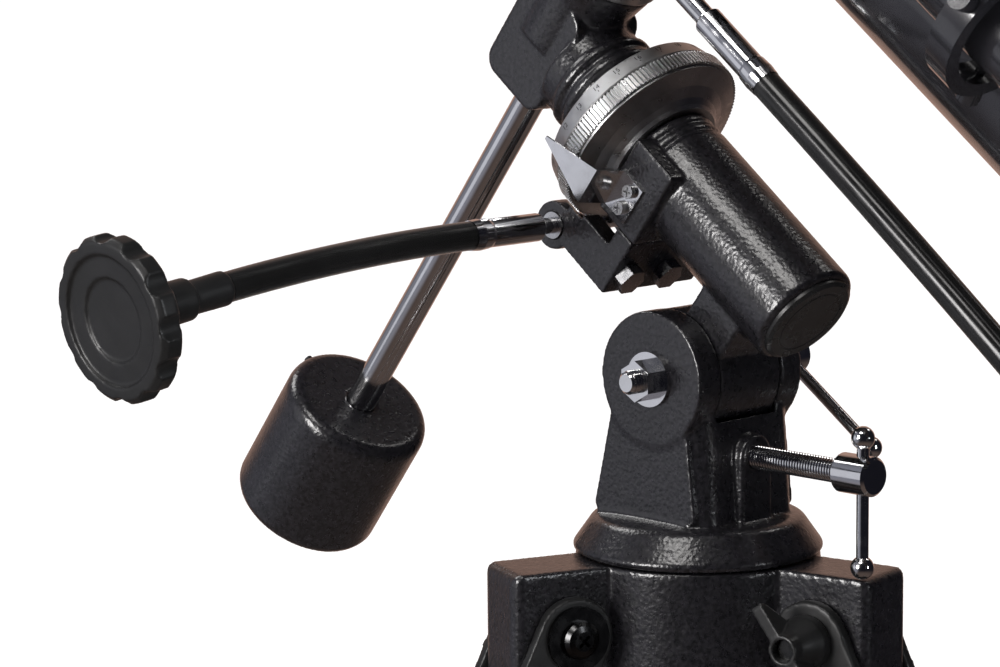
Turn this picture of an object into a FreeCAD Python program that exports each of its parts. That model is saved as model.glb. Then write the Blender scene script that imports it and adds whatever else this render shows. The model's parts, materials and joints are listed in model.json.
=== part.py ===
import FreeCAD, Part
import math
import os

import Sketcher
from FreeCAD import Placement, Rotation, Vector

# A refracting telescope on a small German equatorial mount and a folding aluminium tripod.
# The origin is on the azimuth axis at the floor. +Z is up, +Y is the way the polar axis leans
# and X is the latitude axis. Lengths are millimetres and angles are degrees.

document = FreeCAD.newDocument("telescope_on_tripod")

# ---------------------------------------------------------------- driving dimensions

SIZES = {
    # tripod
    "head_height": 712.0,
    "head_depth": 48.0,
    "barrel_radius": 45.0,
    "barrel_bore": 38.0,
    "head_deck": 10.0,
    "lug_reach": 80.0,
    "lug_width": 28.0,
    "lug_depth": 45.0,
    "first_lug_angle": 160.0,
    "leg_pivot_reach": 58.3,
    "leg_pivot_drop": 23.5,
    "leg_splay": 25.0,
    "leg_bolt_radius": 4.0,
    "arm_thickness": 5.0,
    "arm_radius": 14.5,
    "arm_gap": 0.3,
    "yoke_start": 52.0,
    "yoke_end": 100.0,
    "outer_leg_width": 30.0,
    "outer_leg_depth": 20.0,
    "leg_wall": 1.5,
    "outer_leg_start": 66.0,
    "outer_leg_end": 470.0,
    "slide_gap": 0.3,
    "inner_leg_start": 340.0,
    "inner_leg_end": 748.0,
    "collar_length": 36.0,
    "collar_wall": 4.0,
    "boot_wall": 2.5,
    "boot_start": 722.0,
    "boot_end": 785.0,
    "brace_station": 330.0,
    "brace_standoff": 18.0,
    "brace_rise": 20.0,
    "hub_pivot_reach": 30.0,
    "hub_radius": 34.0,
    "plate_thickness": 4.0,
    "brace_thickness": 6.0,
    "brace_width": 12.0,
    "pin_radius": 2.5,
    # azimuth base
    "seat_gap": 0.3,
    "flange_radius": 45.9,
    "ledge_radius": 38.9,
    "pivot_height": 66.5,
    "pivot_back": 2.0,
    "ear_radius": 24.5,
    "fork_width": 54.6,
    "fork_gap": 32.2,
    "slot_radius": 26.2,
    "bolt_radius": 4.0,
    "running_fit": 0.05,
    "tilt_screw_drop": 28.8,
    "tee_head_radius": 7.1,
    "bar_radius": 2.2,
    "ball_radius": 4.2,
    # polar axis
    "latitude": 37.8,
    "polar_offset": 50.0,
    "polar_radius": 20.65,
    "polar_low": 24.5,
    "polar_high": 61.5,
    "foot_half": 15.8,
    "foot_radius": 24.2,
    "polar_axle_radius": 9.0,
    "bush_radius": 12.0,
    "wheel_radius": 37.6,
    "wheel_low": 69.0,
    "wheel_high": 76.0,
    "wheel_teeth": 144.0,
    "circle_low": 76.8,
    "circle_high": 84.0,
    "circle_hub": 20.0,
    "worm_station": 72.5,
    "worm_offset": 41.6,
    "worm_shaft": 3.0,
    "worm_radius": 3.7,
    # slow-motion cables
    "coupling_length": 34.7,
    "coupling_radius": 5.5,
    "cable_radius": 5.3,
    "core_radius": 3.9,
    "polar_cable": 113.4,
    "polar_cable_droop": 7.0,
    "tilt_cable": 190.0,
    "tilt_cable_droop": 2.5,
    "knob_radius": 28.5,
    "knob_depth": 50.0,
    "knob_lobes": 12.0,
    # declination axis
    "dec_station": 127.0,
    "block_half": 16.0,
    "block_width": 33.0,
    "block_low": 23.3,
    "dec_neck_radius": 19.5,
    "dec_neck_end": 33.5,
    "dec_axle_radius": 8.0,
    "dec_circle_radius": 22.0,
    "dec_wheel_radius": 22.0,
    "dec_wheel_teeth": 84.0,
    "dec_worm_height": 69.0,
    "rod_radius": 3.7,
    "weight_shaft_radius": 6.0,
    "weight_radius": 30.2,
    "weight_start": 191.0,
    "weight_length": 60.0,
    "weight_shaft_end": 249.0,
    "saddle_top": 95.0,
    "saddle_length": 106.0,
    "saddle_width": 36.0,
    # optical tube
    "tube_offset": 154.0,
    "tube_radius": 50.0,
    "tube_wall": 1.5,
    "tube_back": 330.0,
    "tube_front": 350.0,
    "shade_radius": 57.0,
    "shade_front": 450.0,
    "ring_station": 42.0,
    "ring_width": 20.0,
    "ring_outer": 55.5,
    "focuser_radius": 27.0,
    "drawtube_radius": 23.0,
    "eyepiece_socket": 15.9,
    "finder_radius": 16.0,
    "finder_across": -75.8,
    "finder_out": -25.5,
    "finder_station": -195.0,
}


class Size:
    """A number with the spreadsheet expression that gives it, so that sizes stay bound to cells."""

    def __init__(self, text, value):
        self.text = text
        self.value = float(value)

    def combined(self, other, sign, value):
        return Size(f"({self.text} {sign} {expression(other)})", value)

    def __add__(self, other):
        return self.combined(other, "+", self.value + float(other))

    def __sub__(self, other):
        return self.combined(other, "-", self.value - float(other))

    def __mul__(self, other):
        return self.combined(other, "*", self.value * float(other))

    def __truediv__(self, other):
        return self.combined(other, "/", self.value / float(other))

    def __radd__(self, other):
        return Size(f"({expression(other)} + {self.text})", float(other) + self.value)

    def __rsub__(self, other):
        return Size(f"({expression(other)} - {self.text})", float(other) - self.value)

    def __rmul__(self, other):
        return Size(f"({expression(other)} * {self.text})", float(other) * self.value)

    def __neg__(self):
        return Size(f"(0 - {self.text})", -self.value)

    def __float__(self):
        return self.value


def expression(amount):
    return amount.text if isinstance(amount, Size) else repr(float(amount))


def fill_sheet():
    """Writes the sizes as plain numbers with an alias each, and returns them by name."""
    sheet = document.addObject("Spreadsheet::Sheet", "sizes")
    named = {}
    for row, (name, value) in enumerate(SIZES.items(), start=1):
        sheet.set(f"A{row}", name)
        sheet.set(f"B{row}", str(value))
        sheet.setAlias(f"B{row}", name)
        named[name] = Size(f"sizes.{name}", value)
    document.recompute()
    return named


size = fill_sheet()
X, Y, Z = Vector(1, 0, 0), Vector(0, 1, 0), Vector(0, 0, 1)
HOME = Placement()
parts = {}

# ---------------------------------------------------------------- modelling helpers


def at(x=0.0, y=0.0, z=0.0, axis=Z, turn=0.0):
    return Placement(Vector(float(x), float(y), float(z)), Rotation(axis, float(turn)))


def along_x(x=0.0, y=0.0, z=0.0):
    """A placement that lays a part's own +Z along +X."""
    return at(x, y, z, Y, 90)


def along_y(x=0.0, y=0.0, z=0.0):
    """A placement that lays a part's own +Z along +Y."""
    return at(x, y, z, X, -90)


def bind(thing, prop, amount):
    thing.setExpression(prop, expression(amount))


def add(kind, name, place=HOME, **sizes):
    thing = document.addObject(kind, name)
    for prop, amount in sizes.items():
        bind(thing, prop, amount)
    thing.Placement = place
    return thing


def cylinder(name, radius, height, place=HOME):
    return add("Part::Cylinder", name, place, Radius=radius, Height=height)


def sphere(name, radius, place=HOME):
    return add("Part::Sphere", name, place, Radius=radius)


def extent(pair):
    """The distance from the first of two stations to the second, as a Size."""
    span = pair[1] - pair[0]
    if isinstance(span, Size):
        return span
    return Size(repr(float(span)), float(span))


def block(name, xs, ys, zs, place=HOME):
    """A box from the low to the high value on each axis."""
    low = [float(pair[0]) for pair in (xs, ys, zs)]
    long = [
        extent(pair)
        for pair in (xs, ys, zs)
    ]
    corner = place.multiply(at(*low))
    return add("Part::Box", name, corner, Length=long[0], Width=long[1], Height=long[2])


def cut(name, base, *tools):
    joined = tools[0] if len(tools) == 1 else fuse(f"{name}_tools", *tools)
    result = document.addObject("Part::Cut", name)
    result.Base = base
    result.Tool = joined
    return result


def fuse(name, *pieces):
    result = document.addObject("Part::MultiFuse", name)
    result.Shapes = list(pieces)
    result.Refine = True
    return result


def group(name, *pieces):
    result = document.addObject("Part::Compound", name)
    result.Links = list(pieces)
    return result


def rounded(name, base, radius, wanted):
    """Fillets the edges of base for which wanted(edge) holds."""
    document.recompute()
    numbers = [i for i, edge in enumerate(base.Shape.Edges, start=1) if wanted(edge)]
    result = document.addObject("Part::Fillet", name)
    result.Base = base
    result.Edges = [(i, float(radius), float(radius)) for i in numbers]
    return result


def straight(edge):
    return edge.Curve.TypeId == "Part::GeomLine"


def middle(edge):
    return edge.valueAt((edge.FirstParameter + edge.LastParameter) / 2)


def runs_along(edge, axis):
    if not straight(edge):
        return False
    return abs(edge.tangentAt(edge.FirstParameter).dot(axis)) > 0.999


def outline_sketch(body, role, outline):
    """A closed outline on one of the body's own planes, with each corner bound to its sizes."""
    sketch = body.newObject("Sketcher::SketchObject", f"{body.Name}_outline")
    plane = next(o for o in body.Origin.OriginFeatures if o.Role == role)
    sketch.AttachmentSupport = [(plane, "")]
    sketch.MapMode = "FlatFace"
    corners = [Vector(float(u), float(v), 0) for u, v in outline]
    count = len(corners)
    for i, corner in enumerate(corners):
        sketch.addGeometry(Part.LineSegment(corner, corners[(i + 1) % count]), False)
    for i in range(count):
        sketch.addConstraint(Sketcher.Constraint("Coincident", i, 2, (i + 1) % count, 1))
    for i, pair in enumerate(outline):
        for kind, amount in zip(("DistanceX", "DistanceY"), pair):
            rule = Sketcher.Constraint(kind, -1, 1, i, 1, float(amount))
            bind(sketch, f"Constraints[{sketch.addConstraint(rule)}]", amount)
    return sketch


def turned(name, profile, place=HOME):
    """A lathe part: its (radius, height) outline turned about its own Z axis."""
    body = document.addObject("PartDesign::Body", name)
    sketch = outline_sketch(body, "XZ_Plane", profile)
    lathe = body.newObject("PartDesign::Revolution", f"{name}_turn")
    lathe.Profile = sketch
    lathe.ReferenceAxis = (sketch, ["V_Axis"])
    lathe.Angle = 360
    body.Placement = place
    return body


def padded(name, outline, height, place=HOME):
    """A plate: its (x, y) outline raised along its own Z axis."""
    body = document.addObject("PartDesign::Body", name)
    pad = body.newObject("PartDesign::Pad", f"{name}_pad")
    pad.Profile = outline_sketch(body, "XY_Plane", outline)
    bind(pad, "Length", height)
    body.Tip = pad
    body.Placement = place
    return body


def shaped(name, shape, place=HOME):
    """A shape made directly, for what has no primitive or sketch of its own."""
    thing = document.addObject("Part::Feature", name)
    thing.Shape = shape
    thing.Placement = place
    return thing


def node(label, thing, frame=HOME):
    """Names a finished sub-part and moves it from its own frame into the assembly."""
    thing.Placement = frame.multiply(thing.Placement)
    thing.Label = label
    parts[label] = thing
    return thing


def ring_of(count):
    return [360.0 * i / count for i in range(count)]


def radians(angle):
    return math.radians(float(angle))


# ---------------------------------------------------------------- frames of the assembly

HEAD = at(z=size["head_height"])
PIVOT = at(0, -size["pivot_back"], size["head_height"] + size["pivot_height"])
POLAR = PIVOT.multiply(at(axis=X, turn=size["latitude"] - 90)).multiply(at(y=-size["polar_offset"]))
DEC = POLAR.multiply(at(z=size["dec_station"], axis=X, turn=90))
TUBE = POLAR.multiply(at(y=-size["tube_offset"], z=size["dec_station"]))


def leg_frame(number):
    """The frame of one leg: its origin on the pivot bolt, +Z up the leg and +Y outward."""
    angle = radians(size["first_lug_angle"] + 120 * number)
    out = Vector(math.cos(angle), math.sin(angle), 0)
    side = Vector(math.sin(angle), -math.cos(angle), 0)
    splay = radians(size["leg_splay"])
    up_leg = Z * math.cos(splay) - out * math.sin(splay)
    away = out * math.cos(splay) + Z * math.sin(splay)
    height = float(size["head_height"] - size["leg_pivot_drop"])
    origin = out * float(size["leg_pivot_reach"]) + Z * height
    return Placement(origin, Rotation(side, away, up_leg, "XYZ"))


# ---------------------------------------------------------------- tripod


def tripod_head():
    reach, drop = size["leg_pivot_reach"], size["leg_pivot_drop"]
    half = size["lug_width"] / 2
    barrel = turned(
        "barrel",
        [
            (5.3, -size["head_deck"]),
            (size["barrel_bore"], -size["head_deck"]),
            (size["barrel_bore"], -size["head_depth"]),
            (size["barrel_radius"] - 1, -size["head_depth"]),
            (size["barrel_radius"], -size["head_depth"] + 1),
            (size["barrel_radius"], 0),
            (5.3, 0),
        ],
    )
    lugs = []
    holes = []
    for angle in ring_of(3):
        turn = at(turn=size["first_lug_angle"] + angle)
        lug = block("lug", (0, size["lug_reach"]), (-half, half), (-size["lug_depth"], 0), turn)
        lugs.append(lug)
        place = turn.multiply(along_y(reach, -40, -drop))
        holes.append(cylinder("lug_hole", size["leg_bolt_radius"] + 0.1, 80, place))
    core = cylinder(
        "head_core", size["barrel_bore"], size["head_depth"],
        at(z=-size["head_depth"] - size["head_deck"])
    )
    star = cut("lug_star", fuse("lug_arms", *lugs), core, cylinder("stud_hole", 5.3, 100, at(z=-50)))
    head = cut("head_drilled", fuse("head_solid", barrel, star), *holes)
    end = float(size["lug_reach"])

    def lug_end_edge(edge):
        place = middle(edge)
        far = math.hypot(place.x, place.y) > end - 1
        return straight(edge) and far and place.z > -float(size["lug_depth"]) + 1

    return rounded("head_rounded", head, 4.0, lug_end_edge)


def leg_bolt_axis(number):
    """The frame of one leg bolt: its own +Z points towards the wing nut."""
    angle = float(size["first_lug_angle"]) + 120 * number
    spot = at(turn=angle).multiply(at(size["leg_pivot_reach"], 0, -size["leg_pivot_drop"]))
    return HEAD.multiply(spot).multiply(at(axis=X, turn=90))


ARM_OUTSIDE = size["lug_width"] / 2 + size["arm_gap"] + size["arm_thickness"]


WING_TURN = -53.0


def cross_recess(name, deep, place):
    """The crossed slots of a Phillips screw, cut down from the origin of place."""
    bars = []
    for turn in (45, 135):
        bars.append(block(
            f"{name}_slot", (-2.6, 2.6), (-0.55, 0.55), (-deep, 1), place.multiply(at(turn=turn))
        ))
    return bars


def leg_bolt(number):
    """A bolt with a large washer under its pan head; its nut is the wing nut."""
    outside = ARM_OUTSIDE
    bolt = turned(
        f"leg_bolt_{number}",
        [
            (0, -outside - 6.2),
            (3.6, -outside - 6.2),
            (5.6, -outside - 5.5),
            (6.8, -outside - 4.0),
            (6.8, -outside - 2),
            (size["leg_bolt_radius"], -outside - 2),
            (size["leg_bolt_radius"], outside + 14),
            (0, outside + 14),
        ],
    )
    washer = turned(
        f"leg_washer_{number}",
        [
            (size["leg_bolt_radius"], -outside - 2),
            (11.8, -outside - 2),
            (11.8, -outside),
            (size["leg_bolt_radius"], -outside),
        ],
    )
    head = at(z=-outside - 6.2, axis=X, turn=180)
    bolt = cut(f"leg_screw_{number}", bolt, *cross_recess("leg_bolt", 2.4, head))
    for piece in (bolt, washer):
        piece.Placement = leg_bolt_axis(number)
    return [bolt, washer]


def wing_nut():
    """A moulded wing nut: a stepped hub with two pointed wings, on the stud end of a leg bolt."""
    start = ARM_OUTSIDE + 0.3
    bore = size["leg_bolt_radius"] + size["running_fit"]
    hub = turned(
        "wing_hub",
        [
            (bore, start),
            (10, start),
            (10, start + 4),
            (8, start + 9),
            (6.2, start + 13),
            (5.6, start + 17),
            (bore, start + 17),
        ],
    )
    solid = [hub]
    for turn in (WING_TURN, WING_TURN + 180):
        wing = padded("wing", [(4.8, 6), (8, 6), (17.8, 13.8), (18.6, 16.2), (17.4, 16.8), (4.8, 16.8)], 5)
        wing.Placement = at(turn=turn).multiply(at(0, 2.5, start, X, 90))
        solid.append(wing)
    return cut("wing_nut", fuse("wing_nut_solid", *solid), cylinder("wing_bore", bore, 60))


def leg_bracket():
    """The moulded yoke at the top of a leg: two arms beside the lug and a socket for the tube."""
    inside = size["lug_width"] / 2 + size["arm_gap"]
    radius = size["arm_radius"]
    arms = []
    for low in (inside, -ARM_OUTSIDE):
        plate = padded(
            "arm",
            [(radius, 0), (radius, size["yoke_end"] - 8), (-radius, size["yoke_end"] - 8), (-radius, 0)],
            size["arm_thickness"],
            Placement(Vector(float(low), 0, 0), Rotation(-Y, -Z, X, "XYZ")),
        )
        arms += [plate, cylinder("arm_end", radius, size["arm_thickness"], along_x(low))]
    wall = size["outer_leg_width"] / 2
    deep = size["outer_leg_depth"] / 2
    yoke = block(
        "yoke",
        (-ARM_OUTSIDE, ARM_OUTSIDE),
        (-deep - 3.5, deep + 3.5),
        (-size["yoke_end"], -size["yoke_start"]),
    )
    socket = block("socket", (-wall, wall), (-deep, deep), (-size["yoke_end"], -size["outer_leg_start"]))
    hole = cylinder("arm_hole", size["leg_bolt_radius"] + 0.1, 60, along_x(-30))
    return cut("leg_bracket", fuse("bracket_solid", yoke, *arms), socket, hole)


def square_tube(name, wide, deep, wall, high, low):
    outer = block(f"{name}_outer", (-wide / 2, wide / 2), (-deep / 2, deep / 2), (-low, -high))
    inner = block(
        f"{name}_inner",
        (-wide / 2 + wall, wide / 2 - wall),
        (-deep / 2 + wall, deep / 2 - wall),
        (-low - 1, -high + 1),
    )
    return cut(name, outer, inner)


INNER_WIDTH = size["outer_leg_width"] - size["leg_wall"] * 2 - size["slide_gap"] * 2
INNER_DEPTH = size["outer_leg_depth"] - size["leg_wall"] * 2 - size["slide_gap"] * 2


def leg_upper():
    """The outer leg tube, the collar at its foot and the ears and pin that hold the brace."""
    wide, deep = size["outer_leg_width"], size["outer_leg_depth"]
    wall, end = size["collar_wall"], size["outer_leg_end"]
    tube = square_tube("outer_leg", wide, deep, size["leg_wall"], size["outer_leg_start"], end)
    shell = block(
        "collar_shell",
        (-wide / 2 - wall, wide / 2 + wall),
        (-deep / 2 - wall, deep / 2 + wall),
        (-end - 16, -end - 16 + size["collar_length"]),
    )
    boss = cylinder("collar_boss", 8, 6, along_y(0, deep / 2 + wall - 1, -end - 6))
    pocket = block("collar_pocket", (-wide / 2, wide / 2), (-deep / 2, deep / 2), (-end, -end + 40))
    way = block(
        "collar_way",
        (-INNER_WIDTH / 2 - 0.3, INNER_WIDTH / 2 + 0.3),
        (-INNER_DEPTH / 2 - 0.3, INNER_DEPTH / 2 + 0.3),
        (-end - 20, -end + 1),
    )
    stud = cylinder("collar_stud", 3.05, 30, along_y(0, 0, -end - 6))
    collar = cut("collar", fuse("collar_solid", shell, boss), pocket, way, stud)
    reach, station = size["brace_standoff"], size["brace_station"]
    ears = []
    for low in (size["brace_thickness"] / 2 + 0.3, -size["brace_thickness"] / 2 - 3.3):
        plate = block("ear", (low, low + 3), (-reach - 5, -deep / 2), (-station - 7, -station + 7))
        ears.append(plate)
    hole = cylinder("ear_hole", size["pin_radius"], 20, along_x(-10, -reach, -station))
    clip = cut("brace_clip", group("clip_ears", *ears), hole)
    pin = cylinder("brace_pin", size["pin_radius"], 15, along_x(-7.5, -reach, -station))
    return group("leg_upper", tube, collar, clip, pin)


def leg_lower(frame):
    """The sliding leg tube with its rubber boot, cut level where it stands on the floor."""
    tube = square_tube(
        "inner_leg", INNER_WIDTH, INNER_DEPTH, size["leg_wall"],
        size["inner_leg_start"], size["inner_leg_end"]
    )
    wall = size["boot_wall"]
    shell = block(
        "boot_shell",
        (-INNER_WIDTH / 2 - wall, INNER_WIDTH / 2 + wall),
        (-INNER_DEPTH / 2 - wall, INNER_DEPTH / 2 + wall),
        (-size["boot_end"], -size["boot_start"]),
    )
    pocket = block(
        "boot_pocket",
        (-INNER_WIDTH / 2, INNER_WIDTH / 2),
        (-INNER_DEPTH / 2, INNER_DEPTH / 2),
        (-size["inner_leg_end"], -size["boot_start"] + 1),
    )
    ground = block("ground", (-900, 900), (-900, 900), (-100, 0))
    ground.Placement = frame.inverse().multiply(ground.Placement)
    boot = cut("boot", shell, pocket, ground)
    return group("leg_lower", tube, boot)


def clamp_knob():
    """The star knob that locks the sliding leg; its stud stops just short of the leg."""
    tip = INNER_DEPTH / 2 + 0.3
    face = size["outer_leg_depth"] / 2 + size["collar_wall"] + 5.5
    knob = turned(
        "clamp_turned",
        [
            (0, tip),
            (3, tip),
            (3, face),
            (6, face),
            (6, face + 4),
            (13, face + 6),
            (13, face + 14),
            (11.5, face + 15.5),
            (0, face + 15.5),
        ],
    )
    flutes = []
    for angle in ring_of(6):
        place = at(turn=angle).multiply(at(15.5, 0, face + 3))
        flutes.append(cylinder("flute", 4, 20, place))
    knob = cut("clamp_knob", knob, *flutes)
    knob.Placement = along_y(0, 0, -size["outer_leg_end"] - 6)
    return knob


def brace_length():
    """The flat distance between a brace's two pivots, and the height of the hub pivots."""
    splay = radians(size["leg_splay"])
    station, reach = float(size["brace_station"]), float(size["brace_standoff"])
    radius = float(size["leg_pivot_reach"]) + station * math.sin(splay) - reach * math.cos(splay)
    height = float(size["head_height"] - size["leg_pivot_drop"])
    height -= station * math.cos(splay) + reach * math.sin(splay)
    across = radius - float(size["hub_pivot_reach"])
    rise = radians(size["brace_rise"])
    return across / math.cos(rise), height + across * math.tan(rise)


def brace():
    """A flat bar from the leg's ears to the hub, drilled at both ends."""
    long, _ = brace_length()
    half = size["brace_width"] / 2
    thick = size["brace_thickness"]
    bar = block("brace_bar", (-thick / 2, thick / 2), (0, long), (-half, half))
    ends = [cylinder("brace_end", half, thick, along_x(-thick / 2, y, 0)) for y in (0, long)]
    holes = [
        cylinder("brace_hole", size["pin_radius"] + size["running_fit"], 20, along_x(-10, y, 0))
        for y in (0, long)
    ]
    return cut("brace", fuse("brace_solid", bar, *ends), *holes)


def brace_frame(number):
    """The brace runs from the pin on the leg towards the hub, rising a little."""
    frame = leg_frame(number).multiply(at(0, -size["brace_standoff"], -size["brace_station"]))
    return frame.multiply(at(axis=X, turn=180 - float(size["brace_rise"]) - float(size["leg_splay"])))


def spreader_hub():
    """The round plate where the three braces meet, with a pair of ears for each brace."""
    reach, thick = size["hub_pivot_reach"], size["plate_thickness"]
    pieces = [cylinder("hub_plate", size["hub_radius"], thick, at(z=-12 - thick))]
    half = size["brace_thickness"] / 2 + 0.4
    for angle in ring_of(3):
        turn = at(turn=size["first_lug_angle"] + angle)
        for low, rivet in ((half, half + 3), (-half - 3, -half - 4.6)):
            pieces.append(block("hub_ear", (reach - 6, reach + 5), (low, low + 3), (-13, 4.5), turn))
            pieces.append(cylinder("hub_rivet", 3.4, 1.6, turn.multiply(along_y(reach, rivet, 0))))
    eye = cylinder("hub_eye", 6, 30, at(z=-25))
    return cut("spreader_hub", fuse("hub_solid", *pieces), eye)


def azimuth_bolt():
    """The central bolt that holds the mount down, with a fluted grip under the head."""
    knob = turned(
        "azimuth_turned",
        [
            (0, -64),
            (13, -64),
            (15, -62),
            (15, -38),
            (9, -34),
            (9, -size["head_deck"] - 0.3),
            (5, -size["head_deck"] - 0.3),
            (5, 16),
            (0, 16),
        ],
    )
    flutes = []
    for angle in ring_of(8):
        flutes.append(cylinder("grip_flute", 3, 40, at(turn=angle).multiply(at(17, 0, -70))))
    return cut("azimuth_bolt", knob, *flutes)


def build_tripod():
    node("tripod_head", tripod_head(), HEAD)
    node("azimuth_bolt", azimuth_bolt(), HEAD)
    bolts = [piece for number in range(3) for piece in leg_bolt(number)]
    node("leg_bolts", group("leg_bolts", *bolts))
    for number in range(3):
        frame = leg_frame(number)
        name = f"leg_{number + 1}"
        node(f"{name}_bracket", leg_bracket(), frame)
        node(f"{name}_upper", leg_upper(), frame)
        node(f"{name}_lower", leg_lower(frame), frame)
        node(f"{name}_clamp_knob", clamp_knob(), frame)
        node(f"{name}_wing_nut", wing_nut(), leg_bolt_axis(number))
        node(f"{name}_brace", brace(), brace_frame(number))
    node("spreader_hub", spreader_hub(), at(z=brace_length()[1]))


# ---------------------------------------------------------------- azimuth base and latitude axis


def azimuth_base():
    """The forked casting: a conical flange, a square column with rounded corners and two round ears."""
    gap, rim = size["seat_gap"], size["flange_radius"]
    rise, back = size["pivot_height"], size["pivot_back"]
    ledge = size["ledge_radius"]
    flange = turned(
        "flange",
        [
            (0, gap),
            (rim - 1.2, gap),
            (rim, gap + 1.2),
            (rim, gap + 2.6),
            (rim - 0.8, gap + 3.6),
            (ledge, gap + 12.4),
            (ledge - 2, gap + 13.4),
            (28, gap + 14.2),
            (0, gap + 14.2),
        ],
    )
    half, inner = size["fork_width"] / 2, size["fork_gap"] / 2
    side = Rotation(Y, Z, X, "XYZ")
    pivot = Vector(0, -float(back), float(rise))
    raised = 1.3
    column = padded("column", [(20.5, -10), (28.5, -55), (-25.2, -55), (-21.6, -10)], (half - raised) * 2)
    column.Placement = Placement(pivot - X * float(half - raised), side)

    def upright_corner(edge):
        if not straight(edge):
            return False
        return abs(edge.tangentAt(edge.FirstParameter).dot(Z)) > 0.9

    column = rounded("column_rounded", column, 9.0, upright_corner)
    panel_outline = [
        (20.5, -13.4), (26.9, -40), (29.2, -49), (27, -53),
        (-16.5, -53), (-21, -49.5), (-19.6, -38), (-17.2, -18)
    ]
    cheeks = []
    for low in (-half, inner):
        cheeks.append(cylinder("ear_disc", size["ear_radius"], half - inner, along_x(low, -back, rise)))
    for low in (-half + 0.5, half - raised - 2):
        panel = padded("cheek", panel_outline, 2.8)
        panel.Placement = Placement(pivot + X * float(low), side)
        cheeks.append(panel)
    drop = size["tilt_screw_drop"]
    boss = cylinder("screw_boss", 8.2, 12, along_y(0, -back - 27.3, rise - drop))
    rib = block("screw_rib", (-8.2, 8.2), (-back - 27.3, -back - 15), (8, rise - drop))
    solid = fuse("fork_solid", flange, column, boss, rib, *cheeks)
    slot = cylinder("slot", size["slot_radius"], inner * 2, along_x(-inner, -back, rise))
    opening = block("opening", (-inner, inner), (-60, 60), (rise - 8, rise + 60))
    cavity = block("cavity", (-8.6, 8.6), (-back - 17.5, -back + 18), (rise - 44, rise - 10))
    fit = size["bolt_radius"] + size["running_fit"]
    bore = cylinder("pivot_bore", fit, 80, along_x(-40, -back, rise))
    stem = cylinder("bolt_bore", 5.05, 18, at())
    screw = cylinder("screw_bore", fit, 20, along_y(0, -back - 30, rise - drop))
    return cut("azimuth_base", solid, slot, opening, cavity, bore, stem, screw)


def hexagon(name, across_flats, height, place):
    nut = document.addObject("Part::Prism", name)
    nut.Polygon = 6
    bind(nut, "Circumradius", across_flats / math.sqrt(3))
    bind(nut, "Height", height)
    nut.Placement = place
    return nut


def pivot_nut():
    """A plain washer and an M8 nut on the near end of the pivot bolt."""
    half = size["fork_width"] / 2
    washer = cylinder("pivot_washer", 10, 1.6, along_x(-half - 1.6))
    nut = hexagon("pivot_hex", 13.0, 6.5, along_x(-half - 8.1))
    hole = cylinder("nut_hole", size["bolt_radius"] + size["running_fit"], 40, along_x(-60))
    holes = [hole, cylinder("washer_hole", size["bolt_radius"] + size["running_fit"], 40, along_x(-60))]
    return group("pivot_nut", cut("nut_drilled", nut, holes[0]), cut("washer_drilled", washer, holes[1]))


def tee_bolt(name, tip, head_start, head_end, bar_station):
    """A bolt with a plain cylindrical head, cross-drilled for its sliding bar."""
    radius = size["bolt_radius"]
    bolt = turned(
        f"{name}_turned",
        [
            (0, tip),
            (radius - 0.8, tip),
            (radius, tip + 0.8),
            (radius, head_start),
            (size["tee_head_radius"], head_start),
            (size["tee_head_radius"], head_end - 1),
            (size["tee_head_radius"] - 1, head_end),
            (0, head_end),
        ],
    )
    hole = cylinder(
        f"{name}_cross", size["bar_radius"] + size["running_fit"], 40, along_x(-20, 0, bar_station)
    )
    return cut(name, bolt, hole)


def tee_bar(name, long, start):
    """A bar with a ball on each end; it runs along its own Z axis from start."""
    rod = cylinder(f"{name}_rod", size["bar_radius"], long, at(z=start))
    balls = [sphere(f"{name}_ball", size["ball_radius"], at(z=start + end)) for end in (0, long)]
    return fuse(name, rod, *balls)


LOCK_BAR_ANGLE = -35.6
LOCK_BAR_STATION = 46.0
TILT_BAR_STATION = 76.4


def build_base():
    node("azimuth_base", azimuth_base(), HEAD)
    node("pivot_nut", pivot_nut(), PIVOT)
    # the bolt's own Z runs along +X and its own X, the bar's way, slopes down towards -Y
    slope = radians(LOCK_BAR_ANGLE)
    bar_way = Vector(0, -math.cos(slope), math.sin(slope))
    lock = PIVOT.multiply(Placement(Vector(), Rotation(bar_way, X.cross(bar_way), X, "XYZ")))
    node("lock_bolt", tee_bolt("lock_bolt", Size("(0 - 40)", -40), 39.0, 53.0, LOCK_BAR_STATION), lock)
    bar = tee_bar("lock_bar", 62.5, Size("(0 - 11.4)", -11.4))
    node("lock_bar", bar, lock.multiply(along_x(0, 0, LOCK_BAR_STATION)))
    # the latitude screw's own Z runs along -Y and its own X, the bar's way, points down
    screw = PIVOT.multiply(at(z=-size["tilt_screw_drop"])).multiply(
        Placement(Vector(), Rotation(-Z, X, -Y, "XYZ"))
    )
    bolt = tee_bolt("tilt_screw_blank", Size("9.6", 9.6), 67.5, 82.0, TILT_BAR_STATION)
    bolt = cut("tilt_screw", bolt, cylinder("pad_hole", 1.55, 6, at(z=9)))
    node("tilt_screw", bolt, screw)
    bar = tee_bar("tilt_bar", 46.3, Size("(0 - 13.3)", -13.3))
    node("tilt_bar", bar, screw.multiply(along_x(0, 0, TILT_BAR_STATION)))
    pad = turned(
        "tilt_pad",
        [(0, 6.3), (1.2, 6.55), (2.1, 7.2), (2.8, 8.3), (3, 9.3), (1.5, 9.3), (1.5, 13.5), (0, 13.5)]
    )
    node("tilt_pad", pad, screw)


# ---------------------------------------------------------------- polar axis


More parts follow.
